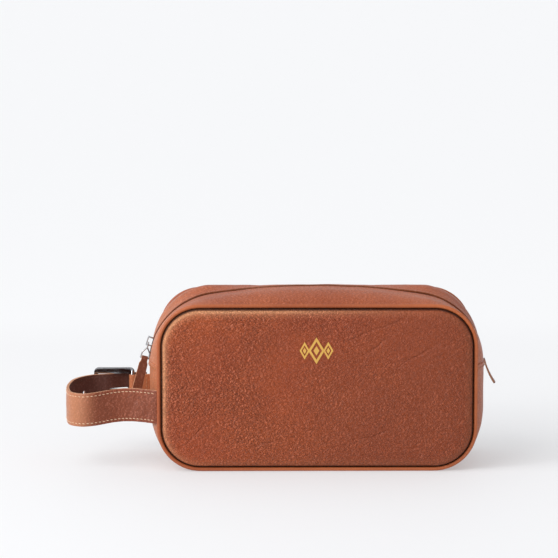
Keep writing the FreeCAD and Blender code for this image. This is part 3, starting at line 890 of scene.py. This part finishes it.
turn_count = int(strip_length / COIL_PITCH / 2)
for side_name, side in SIDES:
    turn = add_turn()
    for half_name, half in HALVES:
        places = []
        for k in range(turn_count):
            u = half * (k + 0.5 + 0.25 * side * half) / (turn_count + 1)
            here, run, across, out = OVER.frame(u, side * COIL_Y, COIL_DEPTH, 0.004)
            leaning = (run + across * COIL_LEAN).normalized()
            places.append(matrix_of(sag(here), leaning.cross(out).normalized(), out, leaning))
        coil = repeated(turn, places)
        dress(coil, f"{side_name}_zip_coil_{half_name}", coil_nylon, "zip_coil", None,
              f"{side_name}_lip_coil", f"{side_name}_strip_coil_ends")
        bend(coil, half)
    bpy.data.objects.remove(turn)

# %% [markdown]
# ## Lower gusset
# One wide band runs down the strap side, under the base and up the other side. It is laid on the
# same form, and its two ends are folded over the ends of the zip strips and stitched down.

# %% The band round the base, and its lining
GUSSET_SEAM_Y = 0.0490


def band_place(a, b):
    y = b * GUSSET_SEAM_Y
    roll = max(0.0, (abs(y) - 0.0470) / 0.0020)
    end = max(0.0, (abs(a) - 0.975) / 0.025)
    rise = 0.0009 * end ** 0.5
    p = UNDER.point(a * 1.004, y, 0.0012 * roll ** 2 - rise)
    soft = relief(p, 0.00030, 45) if p.z > 0.004 else 0.0
    return p + Vector((math.copysign(soft, -p.x), 0, 0)) * min(p.z / 0.02, 1.0)


band = thicken(skin((200, 56), band_place), 0.0024, 0.0006)
dress(band, "lower_gusset_leather", gusset_leather, "gusset_leather", "shell", "lower_gusset")
band_lining = skin((150, 20), lambda a, b: UNDER.point(a * 0.998, b * 0.0470, 0.00298))
thicken(band_lining, 0.0004, 0)
dress(band_lining, "lower_gusset_cloth", lining_cloth, "lining_fabric", "shell", "lower_gusset_lining")

# %% Stitch rows that hold the gusset's ends over the zip strips
STITCH_PITCH = 0.0033
stitch = add_stitch()
places = []
for half in (-1, 1):
    for k in range(-13, 14):
        y = k * STITCH_PITCH
        if abs(y) > 0.004:
            here, run, across, out = UNDER.frame(half * 0.988, y, -0.00085, 0.002)
            places.append(matrix_of(here, across, run, out))
dress(repeated(stitch, places), "gusset_end_stitches", tan_thread, "gusset_leather", "shell")

# %% [markdown]
# ## Front and back panels
# A panel is one rounded rectangle of leather, crowned by its stiff backing. A square grid becomes a
# rounded rectangle when each of its square rings has its corners pulled round, a little more on
# each ring out. How far a point is from the rim then sets how far the leather has rolled up, and
# slow waves of noise give it the unevenness of a soft, handled thing.

# %% The panel's surface
ROLL_HEIGHT, ROLL_REACH = 0.0038, 0.0013     # the tight roll at the rim
CROWN_HEIGHT, CROWN_REACH = 0.0036, 0.0080   # and the slow crown behind it


def from_rim(x, z):
    """Distance of a point in from the rounded rim."""
    qx = abs(x) - (PANEL_HALF[0] - PANEL_CORNER)
    qz = abs(z - PANEL_MIDDLE) - (PANEL_HALF[1] - PANEL_CORNER)
    outside = math.hypot(max(qx, 0.0), max(qz, 0.0))
    return PANEL_CORNER - outside - min(max(qx, qz), 0.0)


def panel_point(x, z, sign, lift=0.0):
    """The panel's surface at (x, z), on the front (sign -1) or the back (+1)."""
    inset = max(from_rim(x, z), 0.0)
    rise = ROLL_HEIGHT * (1 - math.exp(-inset / ROLL_REACH))
    rise += CROWN_HEIGHT * (1 - math.exp(-inset / CROWN_REACH))
    calm = min(inset / 0.012, 1.0)
    p = Vector((x, sign * (SEAM_Y + rise), z))
    rise += calm * (relief(p, 0.00055, 24) + relief(p, 0.00022, 75))
    return sag(Vector((x, sign * (SEAM_Y + rise + lift), z)))


def ringed(a, b):
    """A point of the unit square moved so that the outer rings become rounded rectangles."""
    x, z = PANEL_HALF[0] * a, PANEL_HALF[1] * b
    ring = max(abs(a), abs(b))
    corner = PANEL_CORNER * ring ** 2
    qx = abs(x) - (PANEL_HALF[0] * ring - corner)
    qz = abs(z) - (PANEL_HALF[1] * ring - corner)
    if qx > 0 and qz > 0:
        shrink = max(qx, qz) / math.hypot(qx, qz)
        x = math.copysign(PANEL_HALF[0] * ring - corner + qx * shrink, a)
        z = math.copysign(PANEL_HALF[1] * ring - corner + qz * shrink, b)
    return x, z + PANEL_MIDDLE


def packed_out(v):
    """More grid lines near the rim than in the middle."""
    return math.copysign(1 - (1 - abs(v)) ** 1.35, v)


def add_panel(sign, name, node):
    def place(a, b):
        return panel_point(*ringed(packed_out(a), packed_out(b)), sign)
    panel = thicken(skin((150, 90), place), 0.0022, 0.0007)
    dress(panel, name, panel_leather, "panel_leather", "shell", node)


add_panel(-1, "front_leather", "front_panel")
add_panel(1, "back_leather", "back_panel")

# %% [markdown]
# ## Piping
# Piping is a cord wrapped in thin leather and caught in the seam. A circle of edges is pushed out to
# the seam's rounded rectangle and turned into a curve, whose bevel makes the tube.

# %% Two rings of piping
PIPE_CORNER = 0.0345


def squared(x, z, size, corner):
    """A point of the unit circle moved to the outline of a rounded rectangle."""
    reach = max(abs(x), abs(z))
    x, z = x / reach * size[0] / 2, z / reach * size[1] / 2
    cx, cz = size[0] / 2 - corner, size[1] / 2 - corner
    qx, qz = abs(x) - cx, abs(z) - cz
    if qx > 0 and qz > 0:
        shrink = max(qx, qz) / math.hypot(qx, qz)
        return math.copysign(cx + qx * shrink, x), math.copysign(cz + qz * shrink, z)
    return x, z


def add_piping(sign, name, node):
    low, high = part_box(node)
    size = (high.x - low.x - 2 * PIPE_R, high.z - low.z - 2 * PIPE_R)
    ring = started(bpy.ops.mesh.primitive_circle_add, vertices=300, radius=1, fill_type="NOTHING")
    for vertex in ring.data.vertices:
        x, z = squared(vertex.co.x, vertex.co.y, size, PIPE_CORNER)
        vertex.co = (x, sign * SEAM_Y, z + (low.z + high.z) / 2)
    bpy.ops.object.convert(target="CURVE")
    ring = bpy.context.object
    ring.data.bevel_depth = PIPE_R - 0.00005
    ring.data.bevel_resolution = 3
    bpy.ops.object.convert(target="MESH")
    ring = bpy.context.object
    for vertex in ring.data.vertices:
        vertex.co = sag(vertex.co + Vector((0, relief(vertex.co, 0.00014, 90), 0)))
    outward(ring)
    shade(ring, 60)
    dress(ring, name, piping_leather, "piping_leather", "shell", node)


for name, sign, node in (("front_pipe", -1, "front_piping"), ("back_pipe", 1, "back_piping")):
    add_piping(sign, name, node)

# %% [markdown]
# ## A gold-foil ornament
# The front is blocked with a small ornament in gold foil: three plain lozenges in a row. A circle of
# four points is a lozenge; with an inset and its middle removed it is an outline. Each point is then
# laid on the panel's surface, so that the foil follows the leather.

# %% Lozenges laid on the panel
FOIL_X, FOIL_Z = -0.0010, 0.1030
FOIL_T = 0.00012
FOIL_GAP = 0.00004       # the foil's back face above the leather
LOZENGES = ((0.0, 0.0068, 0.0112, 0.0019), (-0.0098, 0.0042, 0.0074, 0.0014),
            (0.0098, 0.0042, 0.0074, 0.0014))


def add_lozenge(x, half_w, half_h, band):
    """One outline, band wide, with a smaller solid lozenge in the middle."""
    made = []
    for size, hollow in ((1.0, True), (0.36, False)):
        shape = started(bpy.ops.mesh.primitive_circle_add, vertices=4, radius=1, fill_type="NGON")
        shape.scale = (half_w * size, half_h * size, 1)
        settle(shape)
        edit(shape, "FACE")
        bpy.ops.mesh.inset(thickness=band if hollow else band * 0.3, depth=0)
        if hollow:
            bpy.ops.mesh.delete(type="FACE")
        bpy.ops.mesh.select_all(action="SELECT")
        bpy.ops.mesh.subdivide(number_cuts=5)
        done()
        for vertex in shape.data.vertices:
            vertex.co = panel_point(FOIL_X + x + vertex.co.x, FOIL_Z + vertex.co.y, -1,
                                    FOIL_GAP + FOIL_T)
        made.append(shape)
    return made


foil = joined([shape for row in LOZENGES for shape in add_lozenge(*row)])
edit(foil)
bpy.ops.mesh.normals_make_consistent(inside=False)
done()
if sum(face.normal.y for face in foil.data.polygons) > 0:
    edit(foil)
    bpy.ops.mesh.flip_normals()
    done()
modify(foil, "SOLIDIFY", thickness=FOIL_T, offset=-1)
dress(foil, "foil_ornament", gold_foil, "panel_leather", "shell")

# %% [markdown]
# ## Slider, stops and link
# The metal parts have their real shapes already. A loose copy of each, all but the pull's link, gets
# small rounded edges, as plated castings have, because a perfectly sharp edge catches no light.

# %% Plated metal parts
METAL = (
    ("zip_bottom_stop", "zip_foot_stop", bright_nickel, "zip_metal", "shell", 0.00018, 2),
    ("zip_top_stops", "zip_head_stops", bright_nickel, "zip_metal", "shell", 0.00018, 2),
    ("slider_body", "slider_plates", bright_nickel, "zip_metal", "slider", 0.00022, 2),
    ("slider_bridge", "slider_loop", bright_nickel, "zip_metal", "slider", 0.00022, 2),
    ("puller_link", "pull_link", bright_nickel, "zip_metal", "puller", 0, 0),
    ("buckle_frame", "buckle_ring", buckle_nickel, "buckle_metal", "buckle", 0.0009, 4),
    ("buckle_prong", "buckle_tongue", buckle_nickel, "buckle_metal", "prong", 0.0004, 3),
)
for node, name, paint, slot, body, rounding, segments in METAL:
    piece = copied(node)
    if rounding:
        rounded(piece, rounding, segments, 35)
    shade(piece, 50)
    dress(piece, name, paint, slot, body, node)

# %% [markdown]
# ## Folded leather tabs
# The zip pull and the buckle tab are both one strip of leather folded round a bar. One function
# walks from the tail up one side, round the bar and down the other side; the leather then gets its
# thickness outwards, and its cut edges are painted lighter.

# %% Fold a strip round a bar
def fold_place(bar, down, side, wide, radius, length, half_width, closing=0.0055, curl=None):
    """Lays the grid's a along the folded strip, tail to tail, and its b across it."""
    arc = radius * math.pi / 2

    def place(a, b):
        run = abs(a) * (length + arc)
        if run < arc:
            angle = run / radius
            v, off = -radius * math.cos(angle), radius * math.sin(angle)
        else:
            v = run - arc
            close = min(v / closing, 1.0)
            off = radius * (1 - close * close * (3 - 2 * close)) + 0.00002
        shift = curl(v, b) if curl else 0.0
        out = math.copysign(off, a) + shift
        return bar + down * v + side * out + wide * (b * half_width(max(v, 0.0)))
    return place


# %% Zip pull of folded leather
joints = {joint["name"]: joint for joint in frame["record"]["behaviour"]["joints"]}
PULL_AXIS = Vector(joints["pull_tab"]["axis"]).normalized()
PULL_BAR = Vector(joints["pull_tab"]["pos_m"])
PULL_DOWN = Vector((0, 1, 0)).cross(PULL_AXIS)
PULL_DOWN = PULL_DOWN if PULL_DOWN.z < 0 else -PULL_DOWN
PULL_SHAPE = ((0, 2.7), (2.6, 2.7), (5.0, 3.7), (29.5, 4.2), (31.4, 3.9), (32.5, 3.2), (33.0, 2.4))


def pull_curl(v, b):
    return -0.0011 * (v / 0.033) ** 2 + 0.0003 * b * (v / 0.033)


pull = skin((150, 10), fold_place(
    PULL_BAR, PULL_DOWN, Vector((0, 1, 0)), PULL_AXIS, 0.00074, 0.033,
    lambda v: eased(v / MM, PULL_SHAPE) * MM, curl=pull_curl), PULL_BAR + PULL_DOWN * 0.016)
thicken(pull, 0.00114, 0.0002, 2, outwards=True)
dress(pull, "pull_leather_tab", pull_leather, "pull_leather", "pull_tab", "pull_tab")
cut_edges(pull, raw_edge, lambda face: abs(face.normal.dot(PULL_AXIS)) > 0.30)

# %% Grip tab sewn in at the other end of the zip
GRIP_LOW, GRIP_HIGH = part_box("grip_tab")
GRIP_TILT = math.radians(24)
GRIP_LENGTH, GRIP_BOW, GRIP_HALF_T = 0.0225, 0.0010, 0.0007
GRIP_DOWN = Vector((math.sin(GRIP_TILT), 0, -math.cos(GRIP_TILT)))
GRIP_OUT = Vector((math.cos(GRIP_TILT), 0, math.sin(GRIP_TILT)))
GRIP_TOP = Vector((GRIP_LOW.x + GRIP_HALF_T * (1 + math.cos(GRIP_TILT)), 0, GRIP_HIGH.z))
GRIP_TOP -= GRIP_OUT * 0.0002
GRIP_SHAPE = ((0, 4.5), (20.0, 4.5), (21.4, 4.1), (22.2, 3.3), (22.5, 2.4))


def grip_place(lift):
    def place(a, b):
        run = GRIP_LENGTH * (a + 1) / 2
        share = run / GRIP_LENGTH
        bow = -GRIP_BOW * 4 * share * (1 - share) + 0.0003 * b * share
        half = eased(run / MM, GRIP_SHAPE) * MM
        return GRIP_TOP + GRIP_DOWN * run + GRIP_OUT * (bow + lift) + Vector((0, b * half, 0))
    return place


layers = []
for sign in (-1, 1):
    middle = GRIP_TOP + GRIP_DOWN * (GRIP_LENGTH / 2) - GRIP_OUT * (sign * 0.02)
    layers.append(thicken(skin((60, 10), grip_place(sign * GRIP_HALF_T), middle), 0.00066, 0.00018, 2))
grip = joined(layers)
dress(grip, "grip_leather_tab", pull_leather, "pull_leather", "grip_tab", "grip_tab")
cut_edges(grip, raw_edge, lambda face: abs(face.normal.y) > 0.8)

# %% [markdown]
# ## Strap
# The carrying strap is two layers of leather sewn together along both edges. Its line loops out from
# the front seam, round a free end and back through the buckle. A smooth curve through a few points
# of that line gives the place and direction at any length, and both layers, their creases and
# their stitches are laid along it.

# %% The strap's line
STRAP_LOW, STRAP_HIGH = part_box("strap_outer")
STRAP_MIDDLE = (STRAP_LOW.z + STRAP_HIGH.z) / 2
STRAP_WIDTH = STRAP_HIGH.z - STRAP_LOW.z
STRAP_POINTS = ((-133.2, -46.6), (-146, -41.5), (-160, -37), (-176, -38.5), (-191, -42.0),
                (-202.5, -36.5), (-208.6, -21), (-209.8, -2), (-206.4, 18), (-198.2, 31.6),
                (-188, 38.6), (-178, 40.6), (-166, 46.4), (-157, 48.2), (-145, 49.6))


def smooth_line(points, count):
    """Evenly spaced points on a natural cubic spline through the given ones."""
    knots = [0.0]
    for p, q in zip(points, points[1:]):
        knots.append(knots[-1] + math.dist(p, q))
    n = len(points)
    bends = []
    for k in range(2):
        upper, right = [0.0] * n, [0.0] * n
        for i in range(1, n - 1):
            h0, h1 = knots[i] - knots[i - 1], knots[i + 1] - knots[i]
            rate = (points[i + 1][k] - points[i][k]) / h1 - (points[i][k] - points[i - 1][k]) / h0
            pivot = 2 * (h0 + h1) - h0 * upper[i - 1]
            upper[i] = h1 / pivot
            right[i] = (6 * rate - h0 * right[i - 1]) / pivot
        bend_at = [0.0] * n
        for i in range(n - 2, 0, -1):
            bend_at[i] = right[i] - upper[i] * bend_at[i + 1]
        bends.append(bend_at)
    line = []
    for step in range(count + 1):
        t = knots[-1] * step / count
        i = max(j for j in range(n - 1) if knots[j] <= t)
        h = knots[i + 1] - knots[i]
        a, b = (knots[i + 1] - t) / h, (t - knots[i]) / h
        line.append([a * points[i][k] + b * points[i + 1][k]
                     + ((a ** 3 - a) * bends[k][i] + (b ** 3 - b) * bends[k][i + 1]) * h * h / 6
                     for k in range(2)])
    return line


STRAP_LINE = [Vector((x * MM, y * MM, 0)) for x, y in smooth_line(STRAP_POINTS, 600)]
strap_length = sum((q - p).length for p, q in zip(STRAP_LINE, STRAP_LINE[1:]))
print("strap length, mm:", round(1000 * strap_length))


def strap_frame(share):
    """The strap line's point, its direction and the way out of the loop, at a share of its length."""
    place = min(max(share, 0.0), 1.0) * (len(STRAP_LINE) - 1)
    k = min(int(place), len(STRAP_LINE) - 2)
    run = (STRAP_LINE[min(k + 2, len(STRAP_LINE) - 1)] - STRAP_LINE[max(k - 1, 0)]).normalized()
    here = STRAP_LINE[k].lerp(STRAP_LINE[k + 1], place - k)
    return here, run, Vector((-run.y, run.x, 0))


STRAP_DROPS = ((0, 1.6), (0.05, 2.0), (0.10, 2.3), (0.15, 2.0), (0.20, 1.0), (0.26, -0.6),
               (0.32, -1.8), (0.40, -2.2), (0.48, -2.0), (0.58, -1.0), (0.68, 0.2), (0.80, 0.8),
               (1.0, 0.8))
FOLDS = ((0.030, 0.0004), (0.052, 0.0006), (0.078, 0.0005), (0.104, 0.0006), (0.128, 0.0003))
FOLD_REACH = 0.0075


def strap_point(share, across, off):
    """The strap's surface: across from -1 (bottom edge) to 1 (top edge), off outwards from its line."""
    here, run, out = strap_frame(share)
    drop = eased(share, STRAP_DROPS) * MM
    folded = 0.0
    for place, deep in FOLDS:
        wander = place + 0.010 * math.sin(across * 2.3 + place * 90) * (0.6 if place < 0.06 else 1.0)
        uneven = 0.65 + 0.35 * math.cos(across * 3 + place * 50)
        folded -= deep * math.exp(-((share - wander) / FOLD_REACH) ** 2) * uneven
    cup = 0.0005 * (1 - across * across)
    wave = relief(Vector((share * 0.25, across * 0.02, 0.3)), 0.00030, 60)
    root = min(share / 0.02, 1.0) * min(max((0.72 - share) / 0.06, 0.0), 1.0)
    z = STRAP_MIDDLE + across * STRAP_WIDTH / 2 + drop
    return here + out * (off + (folded + cup + wave) * root) + Vector((0, 0, z))


# %% Two layers with a prong slot and holes
OUTER_T, INNER_T = 0.0013, 0.0011
LAYER_SPLIT = (OUTER_T + INNER_T) / 2 - OUTER_T
SLOT_X = (-0.176, -0.1625)
SLOT_HALF = 0.0019
HOLE_R = 0.0017
HOLE_PLACES = ((-0.1515, 0.0469, 0.0), (-0.1990, 0.0316, 0.78))


def hole_cutter():
    """Everything that is punched from the strap: one round-ended slot and two holes."""
    z = STRAP_MIDDLE + 0.0002
    slot = started(bpy.ops.mesh.primitive_cube_add, size=1,
                   location=((SLOT_X[0] + SLOT_X[1]) / 2, 0.045, z))
    slot.scale = (SLOT_X[1] - SLOT_X[0] + 2 * SLOT_HALF, 0.016, 2 * SLOT_HALF)
    settle(slot)
    edit(slot, "EDGE")
    bpy.ops.mesh.select_all(action="DESELECT")
    done()
    for edge in slot.data.edges:
        p, q = (slot.data.vertices[k].co for k in edge.vertices)
        edge.select = abs(p.x - q.x) < 1e-6 and abs(p.z - q.z) < 1e-6
    bpy.ops.object.mode_set(mode="EDIT")
    bpy.ops.mesh.bevel(offset=SLOT_HALF * 0.98, segments=6)
    done()
    tools = [slot]
    for x, y, turn in HOLE_PLACES:
        hole = started(bpy.ops.mesh.primitive_cylinder_add, vertices=20, radius=HOLE_R, depth=0.012,
                       location=(x, y, z), rotation=(math.pi / 2, 0, turn))
        settle(hole)
        tools.append(hole)
    return joined(tools)


def punched(piece, tool):
    """A piece with a tool's shape cut from it."""
    modify(piece, "BOOLEAN", operation="DIFFERENCE", object=tool, solver="EXACT")
    shade(piece, 40)
    return piece


def strap_bend(piece):
    """Puts a strap piece's place into its mesh."""
    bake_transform(piece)


LOOP_MIDDLE = Vector((-0.176, 0.0, STRAP_MIDDLE))
tool = hole_cutter()
LAYERS = (
    ("strap_outside", "strap_outer", strap_leather, OUTER_T + LAYER_SPLIT, OUTER_T - 0.00002, 0.00035),
    ("strap_lining", "strap_inner", strap_inside_shade, LAYER_SPLIT, INNER_T, 0.00030),
)
for name, node, paint, off, thickness, rounding in LAYERS:
    layer = skin((260, 22), lambda a, b: strap_point((a + 1) / 2, b, off), LOOP_MIDDLE)
    punched(thicken(layer, thickness, rounding, 2), tool)
    dress(layer, name, paint, "strap_leather", None, node)
    cut_edges(layer, raw_edge, lambda face: abs(face.normal.z) > 0.8)
    strap_bend(layer)
bpy.data.objects.remove(tool)

# %% Stitches along both edges of the strap
STITCH_INSET = 0.0026
STITCH_RISE = 0.00006
STITCH_SLANT = 0.10
stitch_count = int(strap_length / STITCH_PITCH)


def strap_stitch(share, edge, off):
    """The place of one stitch, slanted a little, on a face of the strap."""
    across = edge * (1 - 2 * STITCH_INSET / STRAP_WIDTH)
    step = 0.003
    at = strap_point(share, across, off)
    ahead = strap_point(share + step, across, off) - strap_point(share - step, across, off)
    slanted = (ahead.normalized() + Vector((0, 0, STITCH_SLANT))).normalized()
    side = strap_frame(share)[2].cross(slanted).normalized()
    return matrix_of(at, slanted, side, slanted.cross(side))


for name, thread, off in (("strap_stitches", cream_thread, OUTER_T + LAYER_SPLIT + STITCH_RISE),
                          ("strap_inner_stitches", dark_thread, LAYER_SPLIT - INNER_T - STITCH_RISE)):
    places = [strap_stitch((k + 0.3) / stitch_count, edge, off)
              for k in range(1, stitch_count) for edge in (-1, 1)]
    stitches = repeated(stitch, places)
    dress(stitches, name, thread, "strap_leather", None)
    strap_bend(stitches)

# %% Buckle tab folded round the heel bar
HEEL = Vector(joints["buckle_swing"]["pos_m"])
TAB_ROOT = Vector((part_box("buckle_tab")[1].x, 0.0469, HEEL.z))
TAB_DOWN = (TAB_ROOT - HEEL).normalized()
TAB_SIDE = Vector((-TAB_DOWN.y, TAB_DOWN.x, 0))
TAB_LENGTH = (TAB_ROOT - HEEL).length + 0.0012
TAB_BORE, TAB_T = 0.00160, 0.00138
tab = skin((110, 20), fold_place(HEEL, TAB_DOWN, TAB_SIDE, Vector((0, 0, 1)), TAB_BORE, TAB_LENGTH,
                                 lambda v: STRAP_WIDTH / 2 - 0.0003, 0.010), HEEL + TAB_DOWN * 0.01)
thicken(tab, TAB_T, 0.0003, 2, outwards=True)
slot_tool = started(bpy.ops.mesh.primitive_cube_add, size=1, location=HEEL)
slot_tool.scale = (0.0096, 0.010, 0.0042)
settle(slot_tool)
punched(tab, slot_tool)
bpy.data.objects.remove(slot_tool)
dress(tab, "buckle_leather_tab", gusset_leather, "strap_leather", None, "buckle_tab")
cut_edges(tab, raw_edge, lambda face: abs(face.normal.z) > 0.8)
strap_bend(tab)

# %% Stitches that close the buckle tab
places = []
for z in range(-3, 4):
    for face in (-1, 1):
        at = HEEL + TAB_DOWN * 0.0118 + TAB_SIDE * (face * 0.00150) + Vector((0, 0, z * STITCH_PITCH))
        places.append(matrix_of(at, Vector((0, 0, 1)), TAB_DOWN, TAB_SIDE))
tab_stitches = repeated(stitch, places)
dress(tab_stitches, "buckle_tab_stitches", tan_thread, "strap_leather", None)
strap_bend(tab_stitches)
bpy.data.objects.remove(stitch)

# %% [markdown]
# ## Linings of the two panels
# The stiffened panels are lined with flat cloth, whose shape is already right, so it only needs its
# woven material.

# %% Paint the panel linings
for node in ("front_panel_lining", "back_panel_lining"):
    cloth = frame["nodes"][node]
    cloth.data.materials.clear()
    cloth.data.materials.append(lining_cloth)

# %% [markdown]
# ## Floor and light
# A white table, lit a little from within, sweeps away behind the bag. A wide soft sun and one small
# softbox stand at the left, and the pale sky is brighter on that side too, so the bag shades gently
# from left to right and its faint shadow falls to the right.

# %% Studio
KEY_FROM = Vector((-1.70, -1.15, 1.40))
SOFTBOX_AT, SOFTBOX_AIM = Vector((-1.3, -0.85, 0.70)), Vector((-0.06, -0.05, 0.08))
SKY_COLOUR = (0.96, 0.97, 0.985)
SKY_FALL = {"From Min": -0.9, "From Max": 0.9, "To Min": 1.02, "To Max": 0.60}


def add_lamp(kind, name, place, toward, energy):
    lamp = started(bpy.ops.object.light_add, type=kind, location=place)
    lamp.name = name
    lamp.data.energy = energy
    lamp.rotation_euler = toward.to_track_quat("-Z", "Y").to_euler()
    return lamp.data


def add_floor():
    floor = started(bpy.ops.mesh.primitive_plane_add, size=16)
    floor.name = "studio_floor"
    p = Paint("studio_floor")
    _, y, _ = p.parts(p.where())
    far = p.ramp(y, 0.55, 0.80)
    p.put(p.shader.inputs["Base Color"], p.mix(far, (0.46, 0.462, 0.47), (0.49, 0.493, 0.50)))
    p.put(p.shader.inputs["Emission Color"], (0.36, 0.361, 0.365))
    p.put(p.shader.inputs["Emission Strength"], 1.0)
    p.shader.inputs["Roughness"].default_value = 0.7
    floor.data.materials.append(p.material)


def add_sky():
    """A pale sky whose strength falls from the left to the right."""
    world = bpy.data.worlds.new("studio")
    bpy.context.scene.world = world
    world.use_nodes = True
    sky = world.node_tree
    shader = sky.nodes["Background"]
    ways, split, fall = (sky.nodes.new(kind) for kind in (
        "ShaderNodeTexCoord", "ShaderNodeSeparateXYZ", "ShaderNodeMapRange"))
    for key, value in SKY_FALL.items():
        fall.inputs[key].default_value = value
    shader.inputs["Color"].default_value = (*SKY_COLOUR, 1)
    sky.links.new(ways.outputs["Generated"], split.inputs[0])
    sky.links.new(split.outputs["X"], fall.inputs["Value"])
    sky.links.new(fall.outputs["Result"], shader.inputs["Strength"])


add_floor()
add_lamp("SUN", "key", KEY_FROM, -KEY_FROM, 1.8).angle = math.radians(56)
add_lamp("AREA", "softbox", SOFTBOX_AT, SOFTBOX_AIM - SOFTBOX_AT, 7).size = 0.35
add_sky()
bpy.context.scene.view_settings.view_transform = "Standard"
